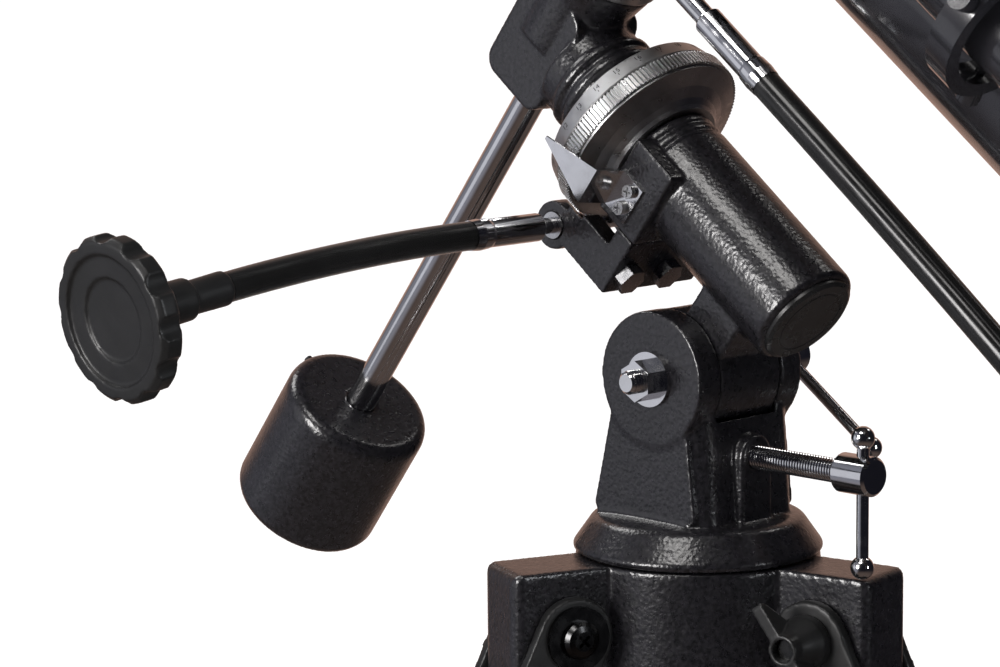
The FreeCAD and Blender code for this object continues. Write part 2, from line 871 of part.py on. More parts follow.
def polar_housing():
    """The polar barrel with its foot, the tongue the latitude screw pushes and a seat for the worm."""
    radius, low, high = size["polar_radius"], size["polar_low"], size["polar_high"]
    barrel = turned(
        "polar_barrel",
        [
            (size["bush_radius"], -low + 4),
            (18.2, -low + 4),
            (18.2, -low),
            (radius - 1.5, -low),
            (radius - 0.4, -low + 0.6),
            (radius, -low + 1.8),
            (radius, high - 9.4),
            (radius - 0.9, high - 9),
            (radius - 0.9, high - 8),
            (radius, high - 7.6),
            (radius, high - 5.2),
            (radius - 0.9, high - 4.8),
            (radius - 0.9, high - 3.8),
            (radius, high - 3.4),
            (radius, high - 0.8),
            (radius - 0.8, high),
            (size["bush_radius"], high),
        ],
    )
    offset, half = size["polar_offset"], size["foot_half"]
    foot = cylinder("foot", size["foot_radius"], half * 2, along_x(-half, offset))
    web = block("web", (-half, half), (13, offset), (-13, 9))
    tongue = block("tongue", (-8, 8), (-5, 5), (-37, -15), at(0, offset, 0, X, 90 - float(size["latitude"])))
    seat = block("seat", (-24, -6), (-12, 20), (38, 59.5))
    solid = fuse("polar_solid", barrel, foot, web, tongue, seat)
    axle = cylinder("axle_way", size["bush_radius"], high + low - 4, at(z=-low + 4))
    bolt = cylinder("foot_bore", size["bolt_radius"] + size["running_fit"], 60, along_x(-30, offset))
    return cut("polar_casting", solid, axle, bolt)


def polar_cap():
    low = size["polar_low"]
    return turned(
        "polar_cap",
        [(0, -low - 0.5), (17, -low - 0.5), (18.1, -low + 0.3), (18.1, -low + 4), (0, -low + 4)]
    )


def worm_bracket():
    """The angled bracket under the worm wheel: a base bolted to the barrel and two drilled arms."""
    station, offset = size["worm_station"], size["worm_offset"]
    pieces = [block("bracket_base", (-24, 24), (16, 44.5), (38.5, 47.5))]
    for low in (-24, 16):
        pieces.append(block("bracket_arm", (low, low + 8), (28, 44.5), (38.5, station - 2)))
        pieces.append(cylinder("bracket_boss", 9, 8, along_x(low, offset, station)))
    solid = fuse("bracket_solid", *pieces)
    barrel = cylinder("barrel_room", size["polar_radius"], 60, at(z=20))
    wheel = cylinder("wheel_room", size["wheel_radius"] + 0.7, 60, at(z=63))
    seat = block("seat_room", (-24.1, -6), (-12, 20), (30, 59.5))
    bore = cylinder("worm_bore", 5, 60, along_x(-30, offset, station))
    return [solid, barrel, wheel, seat, bore]


def bracket_fasteners():
    """Two hexagon bolts under the bracket and two small cross-head screws in the pointer plate."""
    pieces = []
    for across in (-17, 3):
        head = hexagon("bracket_hex", 10.0, 4.4, at(across, 36, 34.1))
        shank = cylinder("bracket_shank", 3, 11.5, at(across, 36, 38.5))
        pieces.append(fuse("bracket_bolt", head, shank))
    for along, station in ((4.6, 50.0), (12.4, 50.0)):
        head = cylinder("pointer_screw_head", 2.5, 1.8, along_x(-26.8, along, station))
        slots = []
        for turn in (30, 120):
            place = at(-26.8, along, station, Y, -90).multiply(at(turn=turn))
            slots.append(block("pointer_slot", (-1.7, 1.7), (-0.35, 0.35), (-1, 0.2), place))
        pieces.append(cut("pointer_screw", head, *slots))
    return pieces


def bracket_bolt_holes():
    return [cylinder("bolt_hole", 3, 40, at(across, 36, 30)) for across in (-17, 3)]


def ra_pointer():
    """A bent strip: a plate on the seat, a step outward and a long triangle towards the circle."""
    plate = block("pointer_plate", (-25, -24), (0.8, 16.4), (45.5, 58))
    step = padded("pointer_step", [(-24, 58), (-36.2, 59.8), (-37.4, 58.8), (-25, 56.9)], 15.6)
    step.Placement = Placement(Vector(0, 16.4, 0), Rotation(X, Z, -Y, "XYZ"))
    tip = padded("pointer_tip", [(0.8, 0), (16.4, 0), (7.4, 25), (6.2, 25)], 0.8)
    lean = at(-37.4, 0, 58.8, Y, -5.7)
    tip.Placement = lean.multiply(Placement(Vector(), Rotation(Y, Z, X, "XYZ")))
    return fuse("ra_pointer", plate, step, tip)


def ra_worm():
    """The worm on its shaft and the coupling pinned to the shaft's end; both run along X."""
    radius, shaft = size["worm_radius"], size["worm_shaft"]
    profile = [(0, -25), (shaft, -25), (shaft, -13)]
    for turn in range(8):
        start = -13 + turn * 3.2
        profile += [
            (radius, start + 0.4), (radius, start + 1.7),
            (shaft - 0.2, start + 2.2), (shaft - 0.2, start + 3)
        ]
    profile += [(shaft, 13), (shaft, 48), (0, 48)]
    place = Placement(Vector(0, float(size["worm_offset"]), float(size["worm_station"])), Rotation(Y, -90))
    worm = turned("worm", profile, place)
    coupling = turned("polar_coupling", coupling_profile(), place.multiply(at(z=31.9)))
    return group("ra_worm", worm, coupling)


def coupling_profile():
    """A plated sleeve: a bore for the shaft at one end and for the cable's core at the other."""
    radius, long = size["coupling_radius"], size["coupling_length"]
    return [
        (size["worm_shaft"], 0),
        (radius - 0.9, 0),
        (radius - 0.3, 0.8),
        (radius - 0.3, long - 9),
        (radius, long - 8),
        (radius + 0.3, long - 4),
        (radius, long),
        (size["core_radius"] + size["running_fit"], long),
        (size["core_radius"] + size["running_fit"], long - 9),
        (size["worm_shaft"], long - 9),
    ]


def cable(name, long, droop):
    """A flexible drive cable that sags along one large arc; its own +Z is the way it starts out."""
    angle = math.radians(droop)
    bend = long / angle
    spine = Part.Arc(
        Vector(0, 0, 0),
        Vector(0, -bend * (1 - math.cos(angle / 2)), bend * math.sin(angle / 2)),
        Vector(0, -bend * (1 - math.cos(angle)), bend * math.sin(angle)),
    ).toShape()
    path = Part.Wire([spine])
    sheath = Part.Wire([Part.makeCircle(float(size["cable_radius"]), Vector(), Z)])
    skin = path.makePipeShell([sheath], True, False)
    end = cable_end(long, droop)
    core = Part.makeCylinder(float(size["core_radius"]), 8.0, Vector(0, 0, -7.7))
    tail = Part.makeCylinder(float(size["core_radius"]), 8.0, Vector(0, 0, -0.3))
    tail.Placement = end.multiply(tail.Placement)
    ratio = skin.Volume / (math.pi * float(size["cable_radius"]) ** 2 * long)
    print(name, "bend radius", round(bend), "mm, volume ratio", round(ratio, 4))
    return shaped(name, skin.fuse([core, tail]).removeSplitter())


def cable_end(long, droop):
    """The frame at the far end of a sagging cable, its own +Z along the cable."""
    angle = math.radians(droop)
    bend = long / angle
    spot = Vector(0, -bend * (1 - math.cos(angle)), bend * math.sin(angle))
    return Placement(spot, Rotation(X, droop))


def control_knob(name):
    """A scalloped hand knob on a plated ferrule: a dished face with a raised ring, and a hub."""
    radius, depth = size["knob_radius"], size["knob_depth"]
    knob = turned(
        f"{name}_turned",
        [
            (0, 17),
            (7.4, 17),
            (7.6, 30),
            (11, 38),
            (21, 40.5),
            (radius - 1.6, 41),
            (radius, 42.6),
            (radius, depth - 1.8),
            (radius - 1.8, depth),
            (22.6, depth),
            (22, depth - 1.4),
            (14.6, depth - 1.4),
            (14, depth - 2.4),
            (0, depth - 2.4),
        ],
    )
    scallops = []
    for angle in ring_of(int(size["knob_lobes"].value)):
        place = at(turn=angle).multiply(at(float(radius) + 3.2, 0, 38))
        scallops.append(cylinder(f"{name}_scallop", 5.4, 20, place))
    ferrule = turned(
        f"{name}_ferrule",
        [
            (size["core_radius"] + size["running_fit"], 0.3),
            (5.7, 0.3),
            (6.1, 1.2),
            (5.9, 17),
            (0, 17),
            (0, 9),
            (size["core_radius"] + size["running_fit"], 9),
        ],
    )
    return group(name, cut(f"{name}_lobed", knob, *scallops), ferrule)


def toothed(name, radius, depth, teeth, thick):
    """A ring of straight teeth, shaped as one closed outline and raised."""
    corners = []
    for angle in ring_of(teeth):
        for shift, reach in ((0.0, radius), (0.46, radius), (0.60, radius - depth), (0.86, radius - depth)):
            turn = math.radians(angle + shift * 360.0 / teeth)
            corners.append(Vector(reach * math.cos(turn), reach * math.sin(turn), 0))
    corners.append(corners[0])
    return shaped(name, Part.Face(Part.makePolygon(corners)).extrude(Vector(0, 0, thick)))


def ra_wheel():
    """The worm wheel: a dished hub next to the barrel, a toothed rim and a spigot for the circle."""
    rim, low, high = size["wheel_radius"], size["wheel_low"], size["wheel_high"]
    bore = size["polar_axle_radius"] + size["running_fit"]
    start = size["polar_high"] + 0.3
    hub = turned(
        "wheel_hub",
        [
            (bore, start),
            (22.4, start),
            (23.4, start + 1.4),
            (25.2, start + 3),
            (29, start + 5),
            (rim - 1.6, low),
            (rim - 1.6, low + 1.2),
            (30, low + 1.2),
            (30, high - 0.2),
            (size["circle_hub"], high - 0.2),
            (size["circle_hub"], size["circle_high"]),
            (bore, size["circle_high"]),
        ],
    )
    teeth = toothed("wheel_teeth", float(rim), 0.9, int(size["wheel_teeth"].value), float(high - low) - 1.0)
    teeth.Placement = at(z=low + 1)
    middle_hole = cylinder("teeth_room", 28, 60, at(z=40))
    return fuse("ra_wheel", hub, cut("toothed_ring", teeth, middle_hole))


def setting_circle(name, bore, rim, low, high, slope):
    """A graduated ring with a slightly conical edge."""
    return turned(
        name,
        [
            (bore, low), (rim - 0.3, low), (rim, low + 0.5),
            (rim - slope, high - 0.4), (rim - slope - 0.4, high), (bore, high)
        ],
    )


def ra_dec_housing():
    """The casting where the axes cross: a ridged neck, a square block and the declination neck."""
    base = 20.6
    neck_profile = [(size["polar_axle_radius"], size["circle_high"] + 0.6), (base, size["circle_high"] + 0.6)]
    for start in (87.0, 93.2, 99.4):
        neck_profile += [
            (base, start), (base + 1.3, start + 0.8), (base + 1.3, start + 3.4), (base, start + 4.2)
        ]
    neck_profile += [(base, 112.0), (size["polar_axle_radius"], 112.0)]
    neck = turned("ra_neck", neck_profile)
    half, wide, station = size["block_half"], size["block_width"] / 2, size["dec_station"]
    cube = block("cross_block", (-half, half), (-21, size["block_low"]), (station - wide, station + wide))

    def side_corner(edge):
        return runs_along(edge, X)

    body = rounded("cross_block_rounded", cube, 7.0, side_corner)
    dec_neck = turned(
        "dec_neck",
        [
            (size["dec_axle_radius"], 0),
            (size["dec_neck_radius"] - 1.5, 0),
            (size["dec_neck_radius"] - 1.5, 22),
            (size["dec_neck_radius"] - 0.5, 26),
            (size["dec_neck_radius"] + 1.2, size["dec_neck_end"] - 2),
            (size["dec_neck_radius"] + 1.2, size["dec_neck_end"]),
            (size["dec_axle_radius"], size["dec_neck_end"]),
        ],
        at(z=station, axis=X, turn=90),
    )
    solid = fuse("cross_solid", neck, body, dec_neck)
    dec_way = at(0, 0, station, X, 90)
    axle = cylinder("dec_axle_way", size["dec_axle_radius"], 60, dec_way.multiply(at(z=0.8)))
    shaft = cylinder("weight_shaft_way", size["weight_shaft_radius"], 30, dec_way.multiply(at(z=-28)))
    polar = cylinder("polar_axle_way", size["polar_axle_radius"], 32, at(z=80))
    return cut("ra_dec_housing", solid, axle, shaft, polar)


def build_polar():
    node("polar_housing", group("polar_housing", polar_housing(), polar_cap()), POLAR)
    bracket = cut("worm_bracket", *worm_bracket(), *bracket_bolt_holes())
    node("worm_bracket", bracket, POLAR)
    node("ra_pointer", ra_pointer(), POLAR)
    offset, station = size["worm_offset"], size["worm_station"]
    bushes = []
    for start in (-24.6, 16.0):
        outer = cylinder("worm_bush_outer", 5, 8.6, along_x(start, offset, station))
        inner = cylinder(
            "worm_bush_bore", size["worm_shaft"] + size["running_fit"],
            20, along_x(start - 5, offset, station)
        )
        bushes.append(cut("worm_bush", outer, inner))
    bearings = []
    for start in (-18.0, 46.0):
        bearings.append(
            turned(
                "polar_bush",
                [
                    (size["polar_axle_radius"] + size["running_fit"], start),
                    (size["bush_radius"], start),
                    (size["bush_radius"], start + 12),
                    (size["polar_axle_radius"] + size["running_fit"], start + 12),
                ],
            )
        )
    node("polar_hardware", group("polar_hardware", *bracket_fasteners(), *bushes, *bearings), POLAR)
    node("ra_worm", ra_worm(), POLAR)
    node("ra_wheel", ra_wheel(), POLAR)
    circle = setting_circle(
        "ra_circle", size["circle_hub"] + 0.1, Size("36.8", 36.8),
        size["circle_low"], size["circle_high"], 1.6
    )
    node("ra_circle", circle, POLAR)
    ra_axle = cylinder("ra_axle", size["polar_axle_radius"], 130, at(z=-18))
    dec_way = at(z=size["dec_station"], axis=X, turn=90)
    dec_axle = cylinder(
        "dec_axle", size["dec_axle_radius"], size["saddle_top"] - 10, dec_way.multiply(at(z=0.8))
    )
    node("axles", group("axles", ra_axle, dec_axle), POLAR)
    node("ra_dec_housing", ra_dec_housing(), POLAR)


def polar_cable_frame():
    """Where the polar cable leaves its coupling: its own +Z along -X and its own -Y straight down."""
    end = -32.2 - size["coupling_length"]
    start = POLAR.multiply(at(end, size["worm_offset"], size["worm_station"])).Base
    return Placement(start, Rotation(-Y, Z, -X, "XYZ"))


# ---------------------------------------------------------------- declination axis


def counterweight():
    """A cast cylinder with a rounded shoulder, bored for the shaft and drilled for its lock screw."""
    start, long, radius = size["weight_start"], size["weight_length"], size["weight_radius"]
    bore = size["weight_shaft_radius"] + size["running_fit"]
    end = -start - long
    weight = turned(
        "weight_turned",
        [
            (bore, end + 9),
            (9.5, end + 9),
            (9.5, end),
            (radius - 4, end),
            (radius - 1.6, end + 1),
            (radius, end + 4),
            (radius, -start - 5),
            (radius - 0.8, -start - 2.4),
            (radius - 2.4, -start - 0.8),
            (radius - 4.6, -start),
            (bore, -start),
        ],
    )
    hole = cylinder("lock_hole", 3.05, 40, along_y(0, 5, -start - 9))
    return cut("counterweight", weight, hole)


def saddle():
    """The head that carries the tube: a round seat over the wheel, a long plate and a worm carrier."""
    top, long, wide = size["saddle_top"], size["saddle_length"], size["saddle_width"]
    height = size["dec_worm_height"]
    seat = turned(
        "saddle_seat",
        [
            (size["dec_axle_radius"] + size["running_fit"], height + 5.2),
            (22, height + 5.2),
            (24, height + 7),
            (24, top - 9),
            (size["dec_axle_radius"] + size["running_fit"], top - 9),
        ],
    )
    plate = block("saddle_plate", (-wide / 2, wide / 2), (-long / 2, long / 2), (top - 9, top))

    def plate_corner(edge):
        return runs_along(edge, Z)

    body = rounded("saddle_plate_rounded", plate, 6.0, plate_corner)
    carrier = block("worm_carrier", (-35, -17), (-19, 19), (height - 8, top - 4))
    solid = fuse("saddle_solid", seat, body, carrier)
    wheel = cylinder("dec_wheel_room", size["dec_wheel_radius"] + 0.6, 30, at(z=height - 24.8))
    worm = block("dec_worm_room", (-40, -16), (-13, 13), (height - 10, height + 5.2))
    bore = cylinder(
        "dec_worm_bore", size["worm_shaft"] + size["running_fit"], 60, along_y(-26.2, -30, height)
    )
    return cut("saddle", solid, wheel, worm, bore)


def dec_worm():
    """The declination worm, its long rod and the coupling, all running towards -Y."""
    radius, shaft = size["worm_radius"], size["worm_shaft"]
    profile = [(0, -20), (shaft, -20), (shaft, -11)]
    for turn in range(7):
        start = -11 + turn * 3.1
        profile += [
            (radius, start + 0.4), (radius, start + 1.7),
            (shaft - 0.2, start + 2.2), (shaft - 0.2, start + 3)
        ]
    profile += [
        (shaft, 11), (shaft, 20), (size["rod_radius"], 20.4),
        (size["rod_radius"], 68), (shaft, 68.4), (shaft, 82), (0, 82)
    ]
    place = Placement(Vector(-26.2, 0, float(size["dec_worm_height"])), Rotation(X, 90))
    worm = turned("tilt_worm", profile, place)
    coupling = turned("tilt_coupling", coupling_profile(), place.multiply(at(z=68.4)))
    return group("dec_worm", worm, coupling)


def build_declination():
    shaft = turned(
        "weight_shaft",
        [
            (0, -size["weight_shaft_end"]),
            (8.5, -size["weight_shaft_end"]),
            (8.5, -size["weight_shaft_end"] + 6.6),
            (size["weight_shaft_radius"], -size["weight_shaft_end"] + 6.6),
            (size["weight_shaft_radius"], -4),
            (0, -4),
        ],
    )
    node("counterweight_shaft", shaft, DEC)
    node("counterweight", counterweight(), DEC)
    stub = turned("weight_screw", [(0, 6.4), (2.2, 6.4), (3, 7.4), (3, 27), (1.7, 27), (1.7, 34), (0, 34)])
    node("weight_screw", stub, DEC.multiply(along_y(0, 0, -size["weight_start"] - 9)))
    circle = setting_circle(
        "dec_circle", Size("15.1", 15.1), size["dec_circle_radius"],
        Size("34.2", 34.2), Size("41", 41), 1.2
    )
    node("dec_circle", circle, DEC)
    height = size["dec_worm_height"]
    bore = size["dec_axle_radius"] + size["running_fit"]
    hub = turned(
        "dec_wheel_hub",
        [
            (bore, 34), (15, 34), (15, 41.5), (17, 42), (17, height - 5),
            (18, height - 4), (18, height + 4), (bore, height + 4)
        ],
    )
    teeth = toothed(
        "dec_teeth", float(size["dec_wheel_radius"]), 0.9, int(size["dec_wheel_teeth"].value), 8.0
    )
    teeth.Placement = at(z=height - 4)
    room = cylinder("dec_teeth_room", 17, 90, at(z=20))
    node("dec_wheel", fuse("dec_wheel", hub, cut("dec_toothed_ring", teeth, room)), DEC)
    node("saddle", saddle(), DEC)
    node("dec_worm", dec_worm(), DEC)


# ---------------------------------------------------------------- slow-motion cables


def build_cables():
    frame = polar_cable_frame()
    long, droop = float(size["polar_cable"]), float(size["polar_cable_droop"])
    node("ra_cable", cable("ra_cable", long, droop), frame)
    node("ra_knob", control_knob("ra_knob"), frame.multiply(cable_end(long, droop)))
    # the declination cable starts along -Y of its own axis and sags towards the counterweight
    reach = 68.7 + size["coupling_length"]
    start = DEC.multiply(at(-26.2, -reach, size["dec_worm_height"]))
    start = start.multiply(Placement(Vector(), Rotation(X, Z, -Y, "XYZ")))
    long, droop = float(size["tilt_cable"]), float(size["tilt_cable_droop"])
    node("dec_cable", cable("dec_cable", long, droop), start)
    node("dec_knob", control_knob("dec_knob"), start.multiply(cable_end(long, droop)))


# ---------------------------------------------------------------- optical tube


def build_rings():
    """Two tube rings on the saddle: fixed lower halves, and hinged upper halves with clamp screws."""
    inner, outer = size["tube_radius"] + 0.6, size["ring_outer"]
    wide = size["ring_width"]
    lower = []
    upper = []
    seat = size["tube_offset"] - size["saddle_top"]
    for side in (-1, 1):
        low = side * float(size["ring_station"]) - float(wide) / 2
        ring = cylinder("ring_outer_face", outer, wide, at(z=low))
        room = cylinder("ring_inner_face", inner, wide + 2, at(z=low - 1))
        foot = block("ring_foot", (-14, 14), (inner, seat), (low, low + wide))
        hinge = block("ring_hinge_low", (outer - 3, outer + 5), (0.3, 7), (low + 1, low + wide - 1))
        hinge_axis = outer + 9
        knuckles = [cylinder("hinge_pin", 1.5, wide - 2, at(hinge_axis, 0, low + 1))]
        for start in (low + 1, low + wide - 6):
            knuckles.append(cylinder("knuckle_low", 3.2, 5, at(hinge_axis, 0, start)))
            knuckles.append(block("knuckle_arm_low", (outer + 4, hinge_axis), (0.3, 3.2), (start, start + 5)))
        clamp = block("ring_clamp_low", (-outer - 10, -outer + 3), (0.4, 7), (low + 1, low + wide - 1))
        above = block("above", (-80, 80), (-80, 0.25), (low - 2, low + wide + 2))
        stud_way = cylinder("ring_stud_way", 3.5, 20, along_y(-outer - 6, -10, low + wide / 2))
        keep = cut("ring_lower", fuse("ring_lower_solid", ring, foot, hinge, clamp), room, above, stud_way)
        lower.append(fuse("ring_lower_hinged", keep, *knuckles))
        ring = cylinder("cap_outer_face", outer, wide, at(z=low))
        room = cylinder("cap_inner_face", inner, wide + 2, at(z=low - 1))
        hinge = block("ring_hinge_high", (outer - 3, outer + 5), (-7, -0.3), (low + 1, low + wide - 1))
        knuckle = cylinder("knuckle_high", 3.2, 7.2, at(hinge_axis, 0, low + 6.4))
        arm = block("knuckle_arm_high", (outer + 4, hinge_axis), (-3.2, -0.3), (low + 6.4, low + 13.6))
        pin_way = cylinder("hinge_pin_way", 1.55, wide, at(hinge_axis, 0, low))
        clamp = block("ring_clamp_high", (-outer - 10, -outer + 3), (-7, -0.4), (low + 1, low + wide - 1))
        below = block("below", (-80, 80), (-0.25, 80), (low - 2, low + wide + 2))
        stud_way = cylinder("cap_stud_way", 3.0, 20, along_y(-outer - 6, -12, low + wide / 2))
        keep = cut("ring_upper", fuse("ring_upper_solid", ring, hinge, clamp), room, below, stud_way)
        upper.append(cut("ring_upper_hinged", fuse("ring_upper_arms", keep, knuckle, arm), pin_way))
        screw = turned(
            "ring_screw",
            [(0, -6.8), (3, -6.8), (3, 7), (7.5, 7.4), (8.5, 8.6), (8.5, 16), (7.5, 17.2), (0, 17.2)],
            Placement(Vector(-float(outer) - 6, 0, low + float(wide) / 2), Rotation(X, 90)),
        )
        upper.append(screw)
    node("ring_lowers", group("ring_lowers", *lower), TUBE)
    node("ring_uppers", group("ring_uppers", *upper), TUBE)


def build_tube():
    radius, wall = size["tube_radius"], size["tube_wall"]
    back, front = size["tube_back"], size["tube_front"]
    tube = turned(
        "main_tube", [(radius - wall, -back), (radius, -back), (radius, front), (radius - wall, front)]
    )
    shade, mouth = size["shade_radius"], size["shade_front"]
    hood = turned(
        "dew_shield",
        [
            (radius, front - 40),
            (shade - 1, front - 40),
            (shade, front - 39),
            (shade, mouth - 1),
            (shade - 1, mouth),
            (shade - 2, mouth),
            (shade - 2, front + 8),
            (49, front + 8),
            (49, front),
            (radius, front),
        ],
    )
    node("dew_shield", hood, TUBE)
    lens = turned(
        "objective",
        [
            (0, front - 2), (48, front), (48, front + 7.5),
            (40, front + 9), (22, front + 11), (0, front + 11.8)
        ]
    )
    cell = turned("lens_cell", [(45, front - 14), (48.5, front - 14), (48.5, front - 0.5), (45, front - 0.5)])
    node("objective", lens, TUBE)
    node("main_tube", group("main_tube", tube, cell), TUBE)
    build_focuser()
    build_finder()


def build_focuser():
    """The focuser at the back of the tube: housing, drawtube, knobs, diagonal and eyepiece."""
    radius, back = size["tube_radius"], size["tube_back"]
    draw = size["drawtube_radius"]
    socket = size["focuser_radius"]
    housing = turned(
        "focuser_turned",
        [
            (draw + 0.1, -back - 64),
            (socket, -back - 64),
            (socket + 1, -back - 60),
            (socket + 1, -back - 44),
            (32, -back - 34),
            (46, -back - 12),
            (radius + 1.5, -back - 6),
            (radius + 1.5, -back),
            (radius - 1.5, -back),
            (radius - 1.5, -back + 14),
            (radius - 4, -back + 14),
            (radius - 4, -back - 4),
            (44, -back - 10),
            (draw + 0.1, -back - 26),
        ],
    )
    bearing = block("pinion_bearing", (-13, 13), (draw + 1, draw + 18), (-back - 62, -back - 42))
    passage = cylinder("drawtube_way", draw + 0.1, 90, at(z=-back - 80))
    shaft_way = cylinder("pinion_way", 3.05, 60, along_x(-30, draw + 8, -back - 52))
    room = cylinder("pinion_room", 5.2, 16, along_x(-8, draw + 8, -back - 52))
    slot = block("rack_slot", (-3, 3), (draw - 4, draw + 4), (-back - 70, -back - 20))
    body = cut("focuser", fuse("focuser_solid", housing, bearing), passage, shaft_way, room, slot)
    node("focuser", body, TUBE)
    tube = turned(
        "drawtube_turned",
        [
            (draw - 2, -back + 20),
            (draw - 2, -back - 100),
            (size["eyepiece_socket"] + 0.1, -back - 100),
            (size["eyepiece_socket"] + 0.1, -back - 128),
            (21, -back - 128),
            (22, -back - 127),
            (22, -back - 106),
            (draw + 1.5, -back - 104),
            (draw + 1.5, -back - 98),
            (draw, -back - 97),
            (draw, -back + 20),
        ],
    )
    rack = block("rack", (-2.5, 2.5), (draw - 1.5, draw + 2.4), (-back - 92, -back + 14))
    node("drawtube", fuse("drawtube", tube, rack), TUBE)
    knobs = turned(
        "focus_turned",
        [
            (0, -42), (13, -42), (14, -41), (14, -29), (13, -28),
            (3, -27.4), (3, -7.4), (4.7, -7.4), (4.7, 7.4),
            (3, 7.4), (3, 27.4), (13, 28), (14, 29), (14, 41), (13, 42), (0, 42),
        ],
    )
    node("focus_knobs", knobs, TUBE.multiply(along_x(0, draw + 8, -back - 52)))
    corner = -float(back) - 152.0
    barrel = turned(
        "diagonal_barrel",
        [
            (13, corner + 46), (13, corner + 12), (size["eyepiece_socket"], corner + 12),
            (size["eyepiece_socket"], corner + 46)
        ]
    )
    prism = padded("diagonal_prism", [(18, 18), (-18, 18), (-18, 6), (6, -18), (18, -18)], 36)
    prism.Placement = Placement(Vector(18, 0, corner), Rotation(-Y, Z, -X, "XYZ"))
    holder = turned(
        "diagonal_holder",
        [
            (size["eyepiece_socket"] + 0.1, 16), (19.5, 16), (19.5, 44),
            (18.5, 45), (size["eyepiece_socket"] + 0.1, 45)
        ],
        Placement(Vector(0, 0, corner), Rotation(X, 90)),
    )
    light = cylinder("light_way", 13, 40, at(z=corner))
    light_up = cylinder("light_way_up", 13, 40, Placement(Vector(0, 0, corner), Rotation(X, 90)))
    node("diagonal", cut("diagonal", fuse("diagonal_solid", barrel, prism, holder), light, light_up), TUBE)
    eyepiece = turned(
        "eyepiece",
        [
            (0, 24), (13.5, 24), (13.5, 20), (size["eyepiece_socket"], 20),
            (size["eyepiece_socket"], 45.4), (18.8, 45.4), (19.6, 46.6),
            (19.6, 66), (17, 70), (17, 76), (15.4, 77.5), (13, 77.5), (10, 72), (0, 72),
        ],
        Placement(Vector(0, 0, corner), Rotation(X, 90)),
    )
    node("eyepiece", eyepiece, TUBE)


def build_finder():
    """The small finder telescope in its two-ring bracket beside the tube."""
    across, out, station = size["finder_across"], size["finder_out"], size["finder_station"]
    radius = size["finder_radius"]
    frame = TUBE.multiply(at(across, out, station))
    finder = turned(
        "finder_tube",
        [
            (0, -118), (9, -118), (11, -117), (11, -96), (13.5, -95),
            (13.5, -80), (radius - 4, -78), (radius - 4, -62),
            (radius, -58), (radius, 60), (radius + 2, 66),
            (radius + 3, 70), (radius + 3, 104), (radius + 1.2, 104),
            (radius + 1.2, 72), (0, 72),
        ],
    )
    toward = math.degrees(math.atan2(-float(out), -float(across)))
    reach = math.hypot(float(across), float(out)) - float(size["tube_radius"])
    pieces = []
    for station_low in (-6, 50):
        ring = cylinder("finder_ring_face", radius + 11, 10, at(z=station_low))
        pieces.append(ring)
    foot = block("finder_foot", (14, reach + 2), (-7, 7), (-6, 60), at(turn=toward))
    pieces.append(foot)
    room = cylinder("finder_room", radius + 6, 80, at(z=-10))
    tube_room = cylinder("finder_tube_room", size["tube_radius"], 90, at(-across, -out, -20))
    screws = []
    drills = []
    for station_low in (-1, 55):
        for angle in (toward + 60, toward + 180, toward + 300):
            place = at(turn=angle).multiply(along_x(radius, 0, station_low))
            drills.append(cylinder("finder_drill", 1.6, 30, place))
            screws.append(
                turned("finder_screw", [(0, 0.05), (1.6, 0.05), (1.6, 12), (4, 12), (4, 17), (0, 17)], place)
            )
    bracket = cut("finder_rings", fuse("finder_bracket_solid", *pieces), room, tube_room, *drills)
    node("finder", group("finder", finder, bracket, *screws), frame)


build_tripod()
build_base()
build_polar()
build_declination()
build_cables()
build_rings()
build_tube()

# ---------------------------------------------------------------- checks and export

document.recompute()
for thing in document.Objects:
    if "Invalid" in thing.State or "Error" in thing.State:
        raise RuntimeError(f"{thing.Name} failed: {thing.State}")
os.makedirs("parts", exist_ok=True)
for label, thing in parts.items():
    if thing.Shape.isNull() or not thing.Shape.isValid() or not thing.Shape.Solids:
        raise RuntimeError(f"{label} has no valid solid")
    thing.Shape.exportStep(f"parts/{label}.step")
print(len(parts), "sub-parts")
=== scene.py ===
import json
import math

import bmesh
import bpy
from mathutils import Matrix, Vector


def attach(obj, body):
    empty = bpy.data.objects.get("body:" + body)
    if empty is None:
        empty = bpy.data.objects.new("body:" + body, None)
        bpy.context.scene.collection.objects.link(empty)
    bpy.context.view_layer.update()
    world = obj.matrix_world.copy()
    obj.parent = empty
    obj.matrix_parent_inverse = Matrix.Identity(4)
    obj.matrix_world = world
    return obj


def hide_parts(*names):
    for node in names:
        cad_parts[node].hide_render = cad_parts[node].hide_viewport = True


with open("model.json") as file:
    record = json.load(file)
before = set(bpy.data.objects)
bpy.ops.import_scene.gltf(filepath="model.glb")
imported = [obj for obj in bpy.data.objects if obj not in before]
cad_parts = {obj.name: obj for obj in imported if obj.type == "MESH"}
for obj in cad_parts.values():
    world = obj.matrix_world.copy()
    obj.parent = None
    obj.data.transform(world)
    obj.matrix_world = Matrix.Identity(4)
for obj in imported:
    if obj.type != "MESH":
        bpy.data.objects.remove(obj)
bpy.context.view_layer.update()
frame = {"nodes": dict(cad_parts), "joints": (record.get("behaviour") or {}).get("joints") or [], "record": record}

MM = 0.001
NODES = frame["nodes"]
BODIES = frame["record"]["behaviour"]["bodies"]
BODY_OF = {node: body for body, nodes in BODIES.items() for node in nodes}
SLOT_OF = {part["node"]: part["material_slot"] for part in frame["record"]["subparts"]}
JOINTS = {joint["name"]: joint for joint in frame["joints"]}

# ---------------------------------------------------------------- axes of the mount, from the frame

PIVOT = Vector(JOINTS["latitude_tilt"]["pos_m"])
POLAR_WAY = Vector(JOINTS["ra_axis"]["axis"]).normalized()
LATITUDE_WAY = Vector((1, 0, 0))
WEIGHT_WAY = Vector(JOINTS["counterweight_slide"]["axis"]).normalized()
POLAR_POINT = Vector(JOINTS["ra_axis"]["pos_m"])
DEC_POINT = Vector(JOINTS["dec_axis"]["pos_m"])


